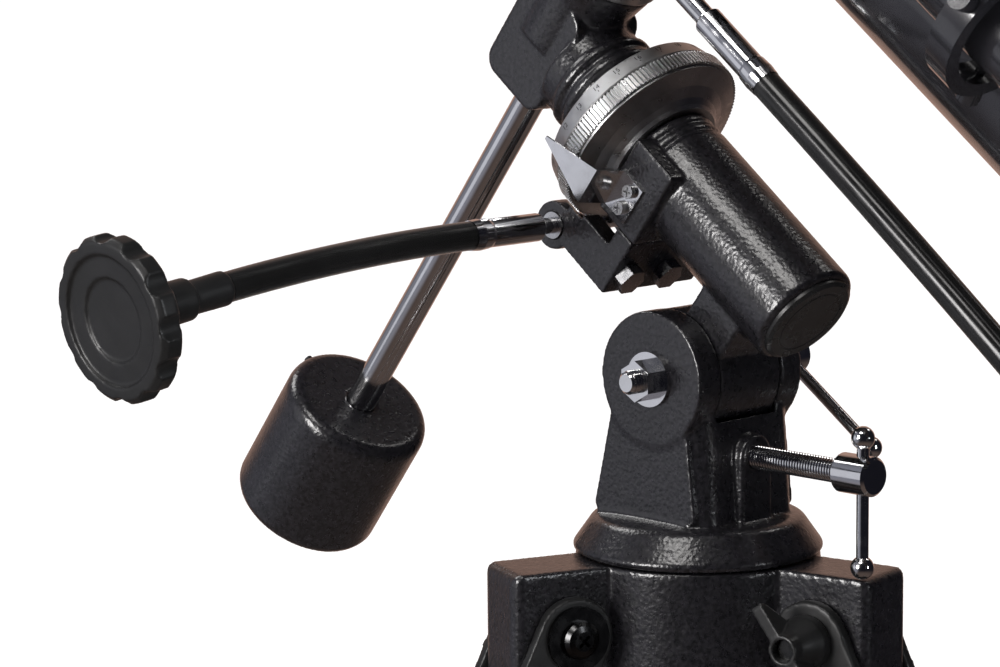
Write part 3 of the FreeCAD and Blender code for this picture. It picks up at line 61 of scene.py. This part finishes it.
def axis_frame(point, way, across):
    """A matrix whose Z is way and whose X is as near across as it can be, with its origin at point."""
    z = way.normalized()
    x = (across - across.dot(z) * z).normalized()
    y = z.cross(x)
    return Matrix.Translation(point) @ Matrix((x, y, z)).transposed().to_4x4()


# ---------------------------------------------------------------- materials


class Shader:
    """A Principled material and short ways to add nodes to it."""

    def __init__(self, name, **settings):
        self.material = bpy.data.materials.new(name)
        self.material.use_nodes = True
        self.tree = self.material.node_tree
        self.surface = next(n for n in self.tree.nodes if n.type == "BSDF_PRINCIPLED")
        self.coordinates = self.add("ShaderNodeTexCoord").outputs["Object"]
        for socket, value in settings.items():
            self.set(socket.replace("_", " "), value)

    def add(self, kind, **settings):
        node = self.tree.nodes.new(kind)
        for name, value in settings.items():
            setattr(node, name, value)
        return node

    def set(self, socket, value):
        if isinstance(value, (tuple, list)) and len(value) == 3:
            value = (*value, 1.0)
        self.surface.inputs[socket].default_value = value

    def link(self, source, target):
        self.tree.links.new(source, target)

    def local(self, matrix):
        """Coordinates in a frame of the object's own, such as one with Z along a shaft."""
        mapping = self.add("ShaderNodeMapping", vector_type="TEXTURE")
        mapping.inputs["Location"].default_value = matrix.to_translation()
        mapping.inputs["Rotation"].default_value = matrix.to_euler("XYZ")
        self.link(self.coordinates, mapping.inputs["Vector"])
        return mapping.outputs["Vector"]

    def noise(self, size, detail):
        """Cloudy noise whose features are about size across."""
        node = self.add("ShaderNodeTexNoise")
        node.inputs["Scale"].default_value = 1.0 / size
        node.inputs["Detail"].default_value = detail
        node.inputs["Roughness"].default_value = 0.5
        self.link(self.coordinates, node.inputs["Vector"])
        return node.outputs["Fac"]

    def cells(self, size):
        """Rounded cells about size across."""
        node = self.add("ShaderNodeTexVoronoi", feature="SMOOTH_F1")
        node.inputs["Scale"].default_value = 1.0 / size
        node.inputs["Smoothness"].default_value = 0.6
        self.link(self.coordinates, node.inputs["Vector"])
        return node.outputs["Distance"]

    def ramp(self, source, low, high, start=0.0, end=1.0):
        """Maps source from start..end onto low..high, for a number or a colour."""
        if isinstance(low, (tuple, list)):
            node = self.add("ShaderNodeValToRGB")
            node.color_ramp.elements[0].position = start
            node.color_ramp.elements[0].color = (*low, 1.0)
            node.color_ramp.elements[1].position = end
            node.color_ramp.elements[1].color = (*high, 1.0)
            self.link(source, node.inputs["Fac"])
            return node.outputs["Color"]
        node = self.add("ShaderNodeMapRange")
        sockets = ("From Min", "From Max", "To Min", "To Max")
        for socket, value in zip(sockets, (start, end, low, high)):
            node.inputs[socket].default_value = value
        self.link(source, node.inputs["Value"])
        return node.outputs["Result"]

    def math(self, operation, first, second=None):
        node = self.add("ShaderNodeMath", operation=operation)
        for socket, value in zip(node.inputs, (first, second)):
            if value is None:
                continue
            if isinstance(value, (int, float)):
                socket.default_value = value
            else:
                self.link(value, socket)
        return node.outputs[0]

    def bump(self, height, distance, strength=1.0, under=None):
        node = self.add("ShaderNodeBump")
        node.inputs["Strength"].default_value = strength
        node.inputs["Distance"].default_value = distance
        self.link(height, node.inputs["Height"])
        if under is not None:
            self.link(under, node.inputs["Normal"])
        return node.outputs["Normal"]

    def colour(self, source):
        self.link(source, self.surface.inputs["Base Color"])

    def rough(self, source):
        self.link(source, self.surface.inputs["Roughness"])

    def normal(self, source, coat=False):
        self.link(source, self.surface.inputs["Normal"])
        if coat:
            self.link(source, self.surface.inputs["Coat Normal"])


def hammertone():
    """Thick gloss enamel with the fine dimples of a hammered finish."""
    s = Shader("hammertone_enamel", Coat_Weight=0.6, Coat_Roughness=0.14, IOR=1.5)
    s.colour(s.ramp(s.noise(1.6 * MM, 3), (0.005, 0.005, 0.006), (0.014, 0.013, 0.016), 0.35, 0.65))
    s.rough(s.ramp(s.noise(2.2 * MM, 3), 0.24, 0.38, 0.3, 0.7))
    dimples = s.bump(s.cells(1.5 * MM), 0.30 * MM, 0.34)
    ripple = s.bump(s.noise(0.9 * MM, 3), 0.20 * MM, 0.34, dimples)
    s.normal(ripple, coat=True)
    return s.material


def gloss_enamel():
    """Smooth black enamel of the optical tube, with a faint orange peel."""
    s = Shader("tube_enamel", Coat_Weight=0.8, Coat_Roughness=0.06, IOR=1.5)
    s.colour(s.ramp(s.noise(30 * MM, 3), (0.010, 0.010, 0.012), (0.018, 0.018, 0.021), 0.3, 0.7))
    s.rough(s.ramp(s.noise(12 * MM, 3), 0.16, 0.24, 0.3, 0.7))
    s.normal(s.bump(s.noise(2.2 * MM, 2), 0.12 * MM, 0.16), coat=True)
    return s.material


def plated(name, tone=0.80, low=0.07, high=0.18):
    """Bright nickel or chrome plate with faint machining marks and handling haze."""
    s = Shader(name, Metallic=1.0)
    s.colour(s.ramp(s.noise(14 * MM, 4), (tone * 0.92,) * 3, (tone, tone, tone * 1.02), 0.35, 0.65))
    s.rough(s.ramp(s.noise(5 * MM, 5), low, high, 0.35, 0.7))
    s.normal(s.bump(s.noise(0.8 * MM, 2), 0.04 * MM, 0.15))
    return s.material


def turned_metal(name, matrix, tone=0.62, pitch=0.45 * MM, depth=0.05 * MM, low=0.26, high=0.40):
    """Machined metal with fine concentric tool marks round the Z axis of matrix."""
    s = Shader(name, Metallic=1.0)
    local = s.local(matrix)
    split = s.add("ShaderNodeSeparateXYZ")
    s.link(local, split.inputs[0])
    x, y, z = split.outputs
    radius = s.math("SQRT", s.math("ADD", s.math("MULTIPLY", x, x), s.math("MULTIPLY", y, y)))
    along = s.math("ADD", radius, z)
    marks = s.math("SINE", s.math("MULTIPLY", along, 2 * math.pi / pitch))
    s.colour(s.ramp(s.noise(6 * MM, 4), (tone * 0.86,) * 3, (tone, tone * 1.01, tone * 1.02), 0.3, 0.7))
    s.rough(s.ramp(s.noise(4 * MM, 4), low, high, 0.3, 0.7))
    s.normal(s.bump(marks, depth, 0.35))
    return s.material


def moulded(name, tone, low=0.38, high=0.52, grain=0.5 * MM):
    """Injection-moulded plastic with a fine spark-eroded grain."""
    s = Shader(name, IOR=1.47)
    high_tone = (tone * 1.1, tone * 1.1, tone * 1.14)
    s.colour(s.ramp(s.noise(18 * MM, 4), (tone * 0.85,) * 3, high_tone, 0.35, 0.65))
    s.rough(s.ramp(s.noise(6 * MM, 3), low, high, 0.3, 0.7))
    s.normal(s.bump(s.noise(grain, 2), 0.05 * MM, 0.22))
    return s.material


def rubber(name, tone, low, high):
    """Smooth synthetic rubber with a slight sheen."""
    s = Shader(name, IOR=1.5, Sheen_Weight=0.15, Sheen_Roughness=0.4)
    s.colour(s.ramp(s.noise(20 * MM, 4), (tone * 0.8,) * 3, (tone * 1.3,) * 3, 0.35, 0.65))
    s.rough(s.ramp(s.noise(7 * MM, 4), low, high, 0.3, 0.7))
    s.normal(s.bump(s.noise(0.9 * MM, 3), 0.025 * MM, 0.12))
    return s.material


def anodised():
    """Satin anodised extrusion, with die lines too fine to see singly."""
    s = Shader("satin_anodised", Metallic=1.0)
    s.colour(s.ramp(s.noise(25 * MM, 4), (0.62, 0.63, 0.65), (0.72, 0.73, 0.75), 0.3, 0.7))
    s.rough(s.ramp(s.noise(9 * MM, 4), 0.30, 0.42, 0.3, 0.7))
    s.normal(s.bump(s.noise(0.7 * MM, 2), 0.03 * MM, 0.2))
    return s.material


def lens_glass():
    """Coated glass with a faint blue-green and violet cast."""
    s = Shader("coated_glass", Transmission_Weight=0.6, IOR=1.52, Coat_Weight=0.4)
    s.colour(s.ramp(s.noise(60 * MM, 1), (0.05, 0.10, 0.12), (0.08, 0.06, 0.14), 0.3, 0.7))
    s.rough(s.ramp(s.noise(30 * MM, 2), 0.02, 0.05))
    return s.material


def ink():
    """The black filling of engraved marks."""
    s = Shader("engraved_black", IOR=1.4)
    s.colour(s.ramp(s.noise(2 * MM, 3), (0.01, 0.01, 0.012), (0.035, 0.035, 0.04), 0.3, 0.7))
    s.rough(s.ramp(s.noise(1 * MM, 3), 0.45, 0.65))
    return s.material


POLAR = axis_frame(POLAR_POINT, POLAR_WAY, LATITUDE_WAY)
DEC = axis_frame(DEC_POINT, -WEIGHT_WAY, LATITUDE_WAY)

HAMMERTONE = hammertone()
ENAMEL = gloss_enamel()
PLATE = plated("bright_plate")
WHEEL = turned_metal("turned_polar_wheel", POLAR)
DEC_WHEEL = turned_metal("turned_dec_wheel", DEC)
CIRCLE = turned_metal("circle_scale", POLAR, 0.60, 0.3 * MM, 0.03 * MM, 0.30, 0.42)
DEC_CIRCLE = turned_metal("dec_circle_scale", DEC, 0.70, 0.3 * MM, 0.03 * MM, 0.30, 0.42)
PLASTIC = moulded("black_moulding", 0.011, 0.34, 0.48)
BLACK = moulded("black_anodising", 0.010, 0.28, 0.40, 0.3 * MM)
CAP = moulded("satin_cap", 0.012, 0.24, 0.34, 0.6 * MM)
SHEATH = rubber("cable_rubber", 0.006, 0.16, 0.24)
DARK_PLATE = plated("black_plate", 0.06, 0.20, 0.32)
ALUMINIUM = anodised()
STEEL = plated("zinc_steel", 0.62, 0.22, 0.36)
GLASS = lens_glass()
INK = ink()

SLOT_MATERIAL = {
    "casting_paint": HAMMERTONE,
    "plated_steel": PLATE,
    "machined_wheel": WHEEL,
    "circle_scale": CIRCLE,
    "black_plastic": PLASTIC,
    "cable_sheath": SHEATH,
    "leg_aluminium": ALUMINIUM,
    "foot_rubber": ALUMINIUM,
    "steel_hardware": STEEL,
    "tube_paint": ENAMEL,
    "optical_glass": GLASS,
    "black_anodised": BLACK,
    "drawtube_chrome": PLATE,
}
NODE_MATERIAL = {"dec_wheel": DEC_WHEEL, "dec_circle": DEC_CIRCLE, "leg_bolts": DARK_PLATE}

# ---------------------------------------------------------------- pieces


def material_of(node):
    """The material of a CAD node: its own, or the one of its slot."""
    return NODE_MATERIAL.get(node, SLOT_MATERIAL[SLOT_OF[node]])


def paint(thing, material):
    """Gives a thing one material in place of any that it has."""
    thing.data.materials.clear()
    thing.data.materials.append(material)


def shade(thing, angle=35):
    """Smooth shading with creases kept where the surface turns by more than angle."""
    mesh = thing.data
    mesh.polygons.foreach_set("use_smooth", [True] * len(mesh.polygons))
    mesh.set_sharp_from_angle(angle=math.radians(angle))


def place(mesh, name, body, material):
    """Puts a mesh of its own in the scene, riding on a body."""
    thing = bpy.data.objects.new(name, mesh)
    bpy.context.scene.collection.objects.link(thing)
    paint(thing, material)
    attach(thing, body)
    return thing


def apply_modifiers(thing):
    """Bakes a thing's modifiers into its mesh."""
    graph = bpy.context.evaluated_depsgraph_get()
    mesh = bpy.data.meshes.new_from_object(thing.evaluated_get(graph))
    thing.modifiers.clear()
    thing.data = mesh


def softened(node, voxel, rounds):
    """A copy of a CAD node with the soft edges and fillets of a cast or moulded piece."""
    thing = bpy.data.objects.new(f"{node}_form", NODES[node].data.copy())
    bpy.context.scene.collection.objects.link(thing)
    remesh = thing.modifiers.new("remesh", "REMESH")
    remesh.mode = "VOXEL"
    remesh.voxel_size = voxel
    remesh.use_smooth_shade = True
    smooth = thing.modifiers.new("smooth", "SMOOTH")
    smooth.factor = 0.5
    smooth.iterations = rounds
    apply_modifiers(thing)
    paint(thing, material_of(node))
    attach(thing, BODY_OF[node])
    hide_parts(node)


# Voxel size of each softened form, and its rounds of smoothing.
CAST = {
    "azimuth_base": (0.7 * MM, 14),
    "polar_housing": (0.7 * MM, 6),
    "worm_bracket": (0.5 * MM, 8),
    "ra_dec_housing": (0.6 * MM, 8),
    "tripod_head": (0.9 * MM, 10),
    "counterweight": (0.8 * MM, 8),
    "saddle": (0.7 * MM, 8),
}
MOULDED = {
    "ra_knob": (0.5 * MM, 6),
    "dec_knob": (0.6 * MM, 6),
    "azimuth_bolt": (0.6 * MM, 5),
    "spreader_hub": (0.7 * MM, 5),
}
for leg in (1, 2, 3):
    MOULDED[f"leg_{leg}_bracket"] = (0.8 * MM, 8)
    MOULDED[f"leg_{leg}_wing_nut"] = (0.4 * MM, 8)
    MOULDED[f"leg_{leg}_clamp_knob"] = (0.5 * MM, 6)

for name, thing in NODES.items():
    paint(thing, material_of(name))
    shade(thing)
for name, (voxel, rounds) in {**CAST, **MOULDED}.items():
    softened(name, voxel, rounds)

# ---------------------------------------------------------------- scales, threads and trim

FIGURE_HEIGHT = 2.9 * MM
MARK_START = 0.7 * MM
FIGURE_START = 3.7 * MM
LONG_MARK = (0.15 * MM, 2.6 * MM)
MIDDLE_MARK = (0.075 * MM, 1.9 * MM)
SHORT_MARK = (0.075 * MM, 1.2 * MM)
INK_HEIGHT = 0.03 * MM
THREAD_RADIUS = 4 * MM
THREAD_PITCH = 1.25 * MM
THREAD_ROOT = 0.1 * MM
THREAD_STEPS = 28
LATHE_STEPS = 72


def points_of(node, frame_matrix):
    """The corners of a CAD node's mesh in another frame."""
    inverse = frame_matrix.inverted() @ NODES[node].matrix_world
    return [inverse @ vertex.co for vertex in NODES[node].data.vertices]


def span_of(node, frame_matrix):
    """Where a CAD node starts and ends along Z of a frame."""
    heights = [point.z for point in points_of(node, frame_matrix)]
    return min(heights), max(heights)


def rim_of(node, frame_matrix):
    """The axial span of a round node and its outer radius at the two ends, in a frame on its axis."""
    low, high = span_of(node, frame_matrix)
    points = points_of(node, frame_matrix)
    near_low = [point.xy.length for point in points if point.z < low + 0.6 * MM]
    near_high = [point.xy.length for point in points if point.z > high - 0.6 * MM]
    return low, high, max(near_low), max(near_high)


def numeral_mesh(text, height):
    """The flat outline of a figure, centred on its base line."""
    curve = bpy.data.curves.new("numeral", "FONT")
    curve.body = text
    curve.size = height
    curve.align_x = "CENTER"
    thing = bpy.data.objects.new("numeral", curve)
    bpy.context.scene.collection.objects.link(thing)
    graph = bpy.context.evaluated_depsgraph_get()
    mesh = bpy.data.meshes.new_from_object(thing.evaluated_get(graph))
    bpy.data.objects.remove(thing)
    return mesh


def scale_marks(name, node, frame_matrix, count, long_every, middle_every, figures, figure_step):
    """Black divisions and figures wrapped round the conical rim of a setting circle.

    There are count divisions, and figures numbers that go up by figure_step.
    """
    low, high, base_radius, top_radius = rim_of(node, frame_matrix)
    form = bmesh.new()
    lean = math.atan2(top_radius - base_radius, high - low)

    def rim_frame(angle, station):
        radius = base_radius + (top_radius - base_radius) * (station - low) / (high - low)
        turn = Matrix.Rotation(angle, 4, "Z") @ Matrix.Translation((radius, 0, station))
        return frame_matrix @ turn @ Matrix.Rotation(lean, 4, "Y") @ Matrix(
            ((0, 0, 1, INK_HEIGHT), (1, 0, 0, 0), (0, 1, 0, 0), (0, 0, 0, 1))
        )

    for mark in range(count):
        half, length = SHORT_MARK
        if mark % middle_every == 0:
            half, length = MIDDLE_MARK
        if mark % long_every == 0:
            half, length = LONG_MARK
        spot = rim_frame(2 * math.pi * mark / count, low + MARK_START)
        corners = [(-half, 0), (half, 0), (half, length), (-half, length)]
        form.faces.new([form.verts.new(spot @ Vector((x, y, 0))) for x, y in corners])
    for number in range(figures):
        mesh = numeral_mesh(str(number * figure_step), FIGURE_HEIGHT)
        mesh.transform(rim_frame(2 * math.pi * number / figures, low + FIGURE_START))
        form.from_mesh(mesh)
    mesh = bpy.data.meshes.new(name)
    form.to_mesh(mesh)
    form.free()
    place(mesh, name, BODY_OF[node], INK)


def swept(sections, closed_ring):
    """A mesh through equal loops of points, joined one to the next."""
    form = bmesh.new()
    loops = [[form.verts.new(point) for point in loop] for loop in sections]
    last = len(loops[0])
    for first, second in zip(loops, loops[1:]):
        for step in range(last if closed_ring else last - 1):
            after = (step + 1) % last
            form.faces.new((first[step], first[after], second[after], second[step]))
    bmesh.ops.recalc_face_normals(form, faces=form.faces)
    mesh = bpy.data.meshes.new("swept")
    form.to_mesh(mesh)
    form.free()
    return mesh


def thread(name, body, frame_matrix, start, end, height):
    """A helical ridge on a plated shank along Z of a frame, fading out over half a turn at each end."""
    sections = []
    steps = int((end - start) / THREAD_PITCH * THREAD_STEPS)
    for step in range(steps + 1):
        angle = 2 * math.pi * step / THREAD_STEPS
        station = start + THREAD_PITCH * step / THREAD_STEPS
        out = Vector((math.cos(angle), math.sin(angle), 0))
        fade = min(1, step / (THREAD_STEPS / 2), (steps - step) / (THREAD_STEPS / 2))
        root = THREAD_RADIUS - THREAD_ROOT
        crest = THREAD_RADIUS + height * fade
        loop = [
            out * root + Vector((0, 0, station - THREAD_PITCH * 0.47)),
            out * crest + Vector((0, 0, station - THREAD_PITCH * 0.05)),
            out * crest + Vector((0, 0, station + THREAD_PITCH * 0.05)),
            out * root + Vector((0, 0, station + THREAD_PITCH * 0.47)),
        ]
        sections.append([frame_matrix @ point for point in loop])
    thing = place(swept(sections, True), name, body, PLATE)
    shade(thing, 25)


def lathe(name, body, frame_matrix, profile, material):
    """A thin turned cover from radius and station pairs about Z of a frame."""
    sections = []
    for step in range(LATHE_STEPS + 1):
        angle = 2 * math.pi * step / LATHE_STEPS
        out = Vector((math.cos(angle), math.sin(angle), 0))
        sections.append([frame_matrix @ (out * radius + Vector((0, 0, z))) for radius, z in profile])
    thing = place(swept(sections, False), name, body, material)
    shade(thing, 30)


scale_marks("ra_scale", "ra_circle", POLAR, 288, 12, 6, 24, 1)
scale_marks("dec_scale", "dec_circle", DEC, 180, 5, 5, 36, 10)

SCREW_POINT = Vector(JOINTS["tilt_screw_turn"]["pos_m"])
SCREW = axis_frame(SCREW_POINT, Vector((0, -1, 0)), LATITUDE_WAY)
screw_tip, screw_end = span_of("tilt_screw", SCREW)
thread("tilt_thread", "tilt_screw", SCREW, screw_tip + 3 * MM, screw_end - 15.5 * MM, 0.34 * MM)

LATITUDE = axis_frame(PIVOT, Vector((-1, 0, 0)), Vector((0, 0, 1)))
bolt_end = span_of("lock_bolt", LATITUDE)[1]
thread("lock_thread", "lock_bolt", LATITUDE, bolt_end - 7 * MM, bolt_end - 0.6 * MM, 0.3 * MM)

# The moulded cap on the low end of the polar housing: a disc with a groove, then a rounded skirt.
CAP_PROFILE = [
    (0.01 * MM, -0.16 * MM),
    (12.6 * MM, -0.16 * MM),
    (12.9 * MM, 0.10 * MM),
    (13.5 * MM, 0.10 * MM),
    (13.8 * MM, -0.16 * MM),
    (16.8 * MM, -0.16 * MM),
    (18.25 * MM, 0.75 * MM),
    (18.3 * MM, 4.2 * MM),
]
END_CAP = POLAR @ Matrix.Translation((0, 0, span_of("polar_housing", POLAR)[0]))
lathe("polar_cap_face", "polar", END_CAP, CAP_PROFILE, CAP)

# ---------------------------------------------------------------- camera, light and floor

CAMERA_FROM_PIVOT = Vector((-0.9158, -0.8437, 0.2059))
CAMERA_AZIMUTH = math.radians(-43.97)
CAMERA_ELEVATION = math.radians(8.77)
CAMERA_ROLL = math.radians(-0.55)
CAMERA_LENS = 124.57

# Each lobe of studio light: its aim, the cosines where it starts and is full, and its colour.
# The first is full in every direction.
STUDIO = [
    ((0, 0, 1), -2.0, -1.5, (0.011, 0.011, 0.016)),
    ((0.69, 0.72, 0.08), 0.60, 0.88, (0.46, 0.30, 0.235)),
    ((-0.74, 0.66, 0.06), 0.55, 0.90, (0.23, 0.235, 0.27)),
    ((0, 0, -1), 0.20, 0.80, (0.10, 0.073, 0.058)),
]


def add_camera():
    """A long lens aimed at the mount head from a little above it."""
    camera = bpy.data.objects.new("camera", bpy.data.cameras.new("camera"))
    camera.data.lens = CAMERA_LENS
    camera.data.sensor_width = 36.0
    camera.data.sensor_fit = "HORIZONTAL"
    camera.data.clip_end = 100.0
    turn, lift = CAMERA_AZIMUTH, CAMERA_ELEVATION
    back = Vector((math.sin(turn) * math.cos(lift), -math.cos(turn) * math.cos(lift), math.sin(lift)))
    right = Vector((math.cos(turn), math.sin(turn), 0))
    up = back.cross(right)
    tilted_right = right * math.cos(CAMERA_ROLL) + up * math.sin(CAMERA_ROLL)
    tilted_up = up * math.cos(CAMERA_ROLL) - right * math.sin(CAMERA_ROLL)
    matrix = Matrix((tilted_right, tilted_up, back)).transposed().to_4x4()
    camera.matrix_world = Matrix.Translation(PIVOT + CAMERA_FROM_PIVOT) @ matrix
    bpy.context.scene.collection.objects.link(camera)
    bpy.context.scene.camera = camera


def add_area(name, spot, aim, width, height, power, colour):
    """A rectangular light at spot that faces aim."""
    light = bpy.data.objects.new(name, bpy.data.lights.new(name, "AREA"))
    light.data.shape = "RECTANGLE"
    light.data.size = width
    light.data.size_y = height
    light.data.energy = power
    light.data.color = colour
    way = (Vector(spot) - Vector(aim)).normalized()
    light.matrix_world = axis_frame(Vector(spot), way, Vector((0, 0, 1)).cross(way))
    bpy.context.scene.collection.objects.link(light)


def add_floor():
    """A wide pale floor that leaves no reflection in the parts."""
    mesh = bpy.data.meshes.new("floor")
    form = bmesh.new()
    bmesh.ops.create_circle(form, cap_ends=True, radius=60.0, segments=96)
    form.to_mesh(mesh)
    form.free()
    floor = bpy.data.objects.new("floor", mesh)
    bpy.context.scene.collection.objects.link(floor)
    s = Shader("pale_floor", IOR=1.3, Specular_IOR_Level=0.0)
    s.colour(s.ramp(s.noise(0.6, 3), (0.93, 0.93, 0.93), (0.95, 0.95, 0.95)))
    s.rough(s.ramp(s.noise(0.2, 3), 0.85, 0.95))
    paint(floor, s.material)
    floor.visible_glossy = False


def add_world():
    """A dim studio: a warm backdrop behind, a pale wall on the left and a brown bench below."""
    world = bpy.data.worlds.new("studio")
    bpy.context.scene.world = world
    world.use_nodes = True
    tree = world.node_tree
    way = tree.nodes.new("ShaderNodeTexCoord").outputs["Generated"]
    total = None
    for aim, start, end, colour in STUDIO:
        dot = tree.nodes.new("ShaderNodeVectorMath")
        dot.operation = "DOT_PRODUCT"
        dot.inputs[1].default_value = Vector(aim).normalized()
        tree.links.new(way, dot.inputs[0])
        level = tree.nodes.new("ShaderNodeMapRange")
        level.interpolation_type = "SMOOTHSTEP"
        level.inputs["From Min"].default_value = start
        level.inputs["From Max"].default_value = end
        tree.links.new(dot.outputs["Value"], level.inputs["Value"])
        lobe = tree.nodes.new("ShaderNodeVectorMath")
        lobe.operation = "SCALE"
        lobe.inputs[0].default_value = colour
        tree.links.new(level.outputs["Result"], lobe.inputs["Scale"])
        if total is None:
            total = lobe.outputs["Vector"]
            continue
        both = tree.nodes.new("ShaderNodeVectorMath")
        both.operation = "ADD"
        tree.links.new(total, both.inputs[0])
        tree.links.new(lobe.outputs["Vector"], both.inputs[1])
        total = both.outputs["Vector"]
    tree.links.new(total, tree.nodes["Background"].inputs["Color"])


def add_sun():
    """Even light from above for the floor; it is too wide to show as a reflection."""
    sun = bpy.data.objects.new("overhead", bpy.data.lights.new("overhead", "SUN"))
    sun.data.energy = 3.3
    sun.data.angle = math.radians(60)
    sun.visible_glossy = False
    bpy.context.scene.collection.objects.link(sun)


def softbox(name, turn, lift, distance, width, height, radiance, colour):
    """A soft box turned from the camera's own direction, aimed at the mount."""
    heading = CAMERA_AZIMUTH + math.radians(turn)
    way = Vector((math.sin(heading), -math.cos(heading), math.tan(math.radians(lift)))).normalized()
    power = radiance * math.pi * width * height
    add_area(name, PIVOT + way * distance, PIVOT, width, height, power, colour)


add_camera()
add_floor()
add_world()
add_sun()
softbox("left_softbox", -52, 12, 2.0, 0.7, 0.9, 18, (1.0, 0.98, 0.97))
softbox("right_softbox", 48, 10, 2.0, 0.6, 0.8, 9, (0.93, 0.96, 1.0))
softbox("top_softbox", -34, 58, 1.9, 0.7, 0.5, 8, (1.0, 0.98, 0.96))
softbox("far_left_softbox", -90, 2, 2.0, 0.8, 1.1, 0.42, (0.95, 0.96, 1.0))
softbox("back_top_softbox", -128, 43, 2.0, 0.9, 0.6, 5, (1.0, 0.99, 0.98))
softbox("right_top_softbox", 123, 46, 2.0, 0.22, 0.5, 4, (1.0, 0.97, 0.94))
bpy.context.scene.view_settings.view_transform = "Standard"
bpy.context.scene.view_settings.gamma = 0.93
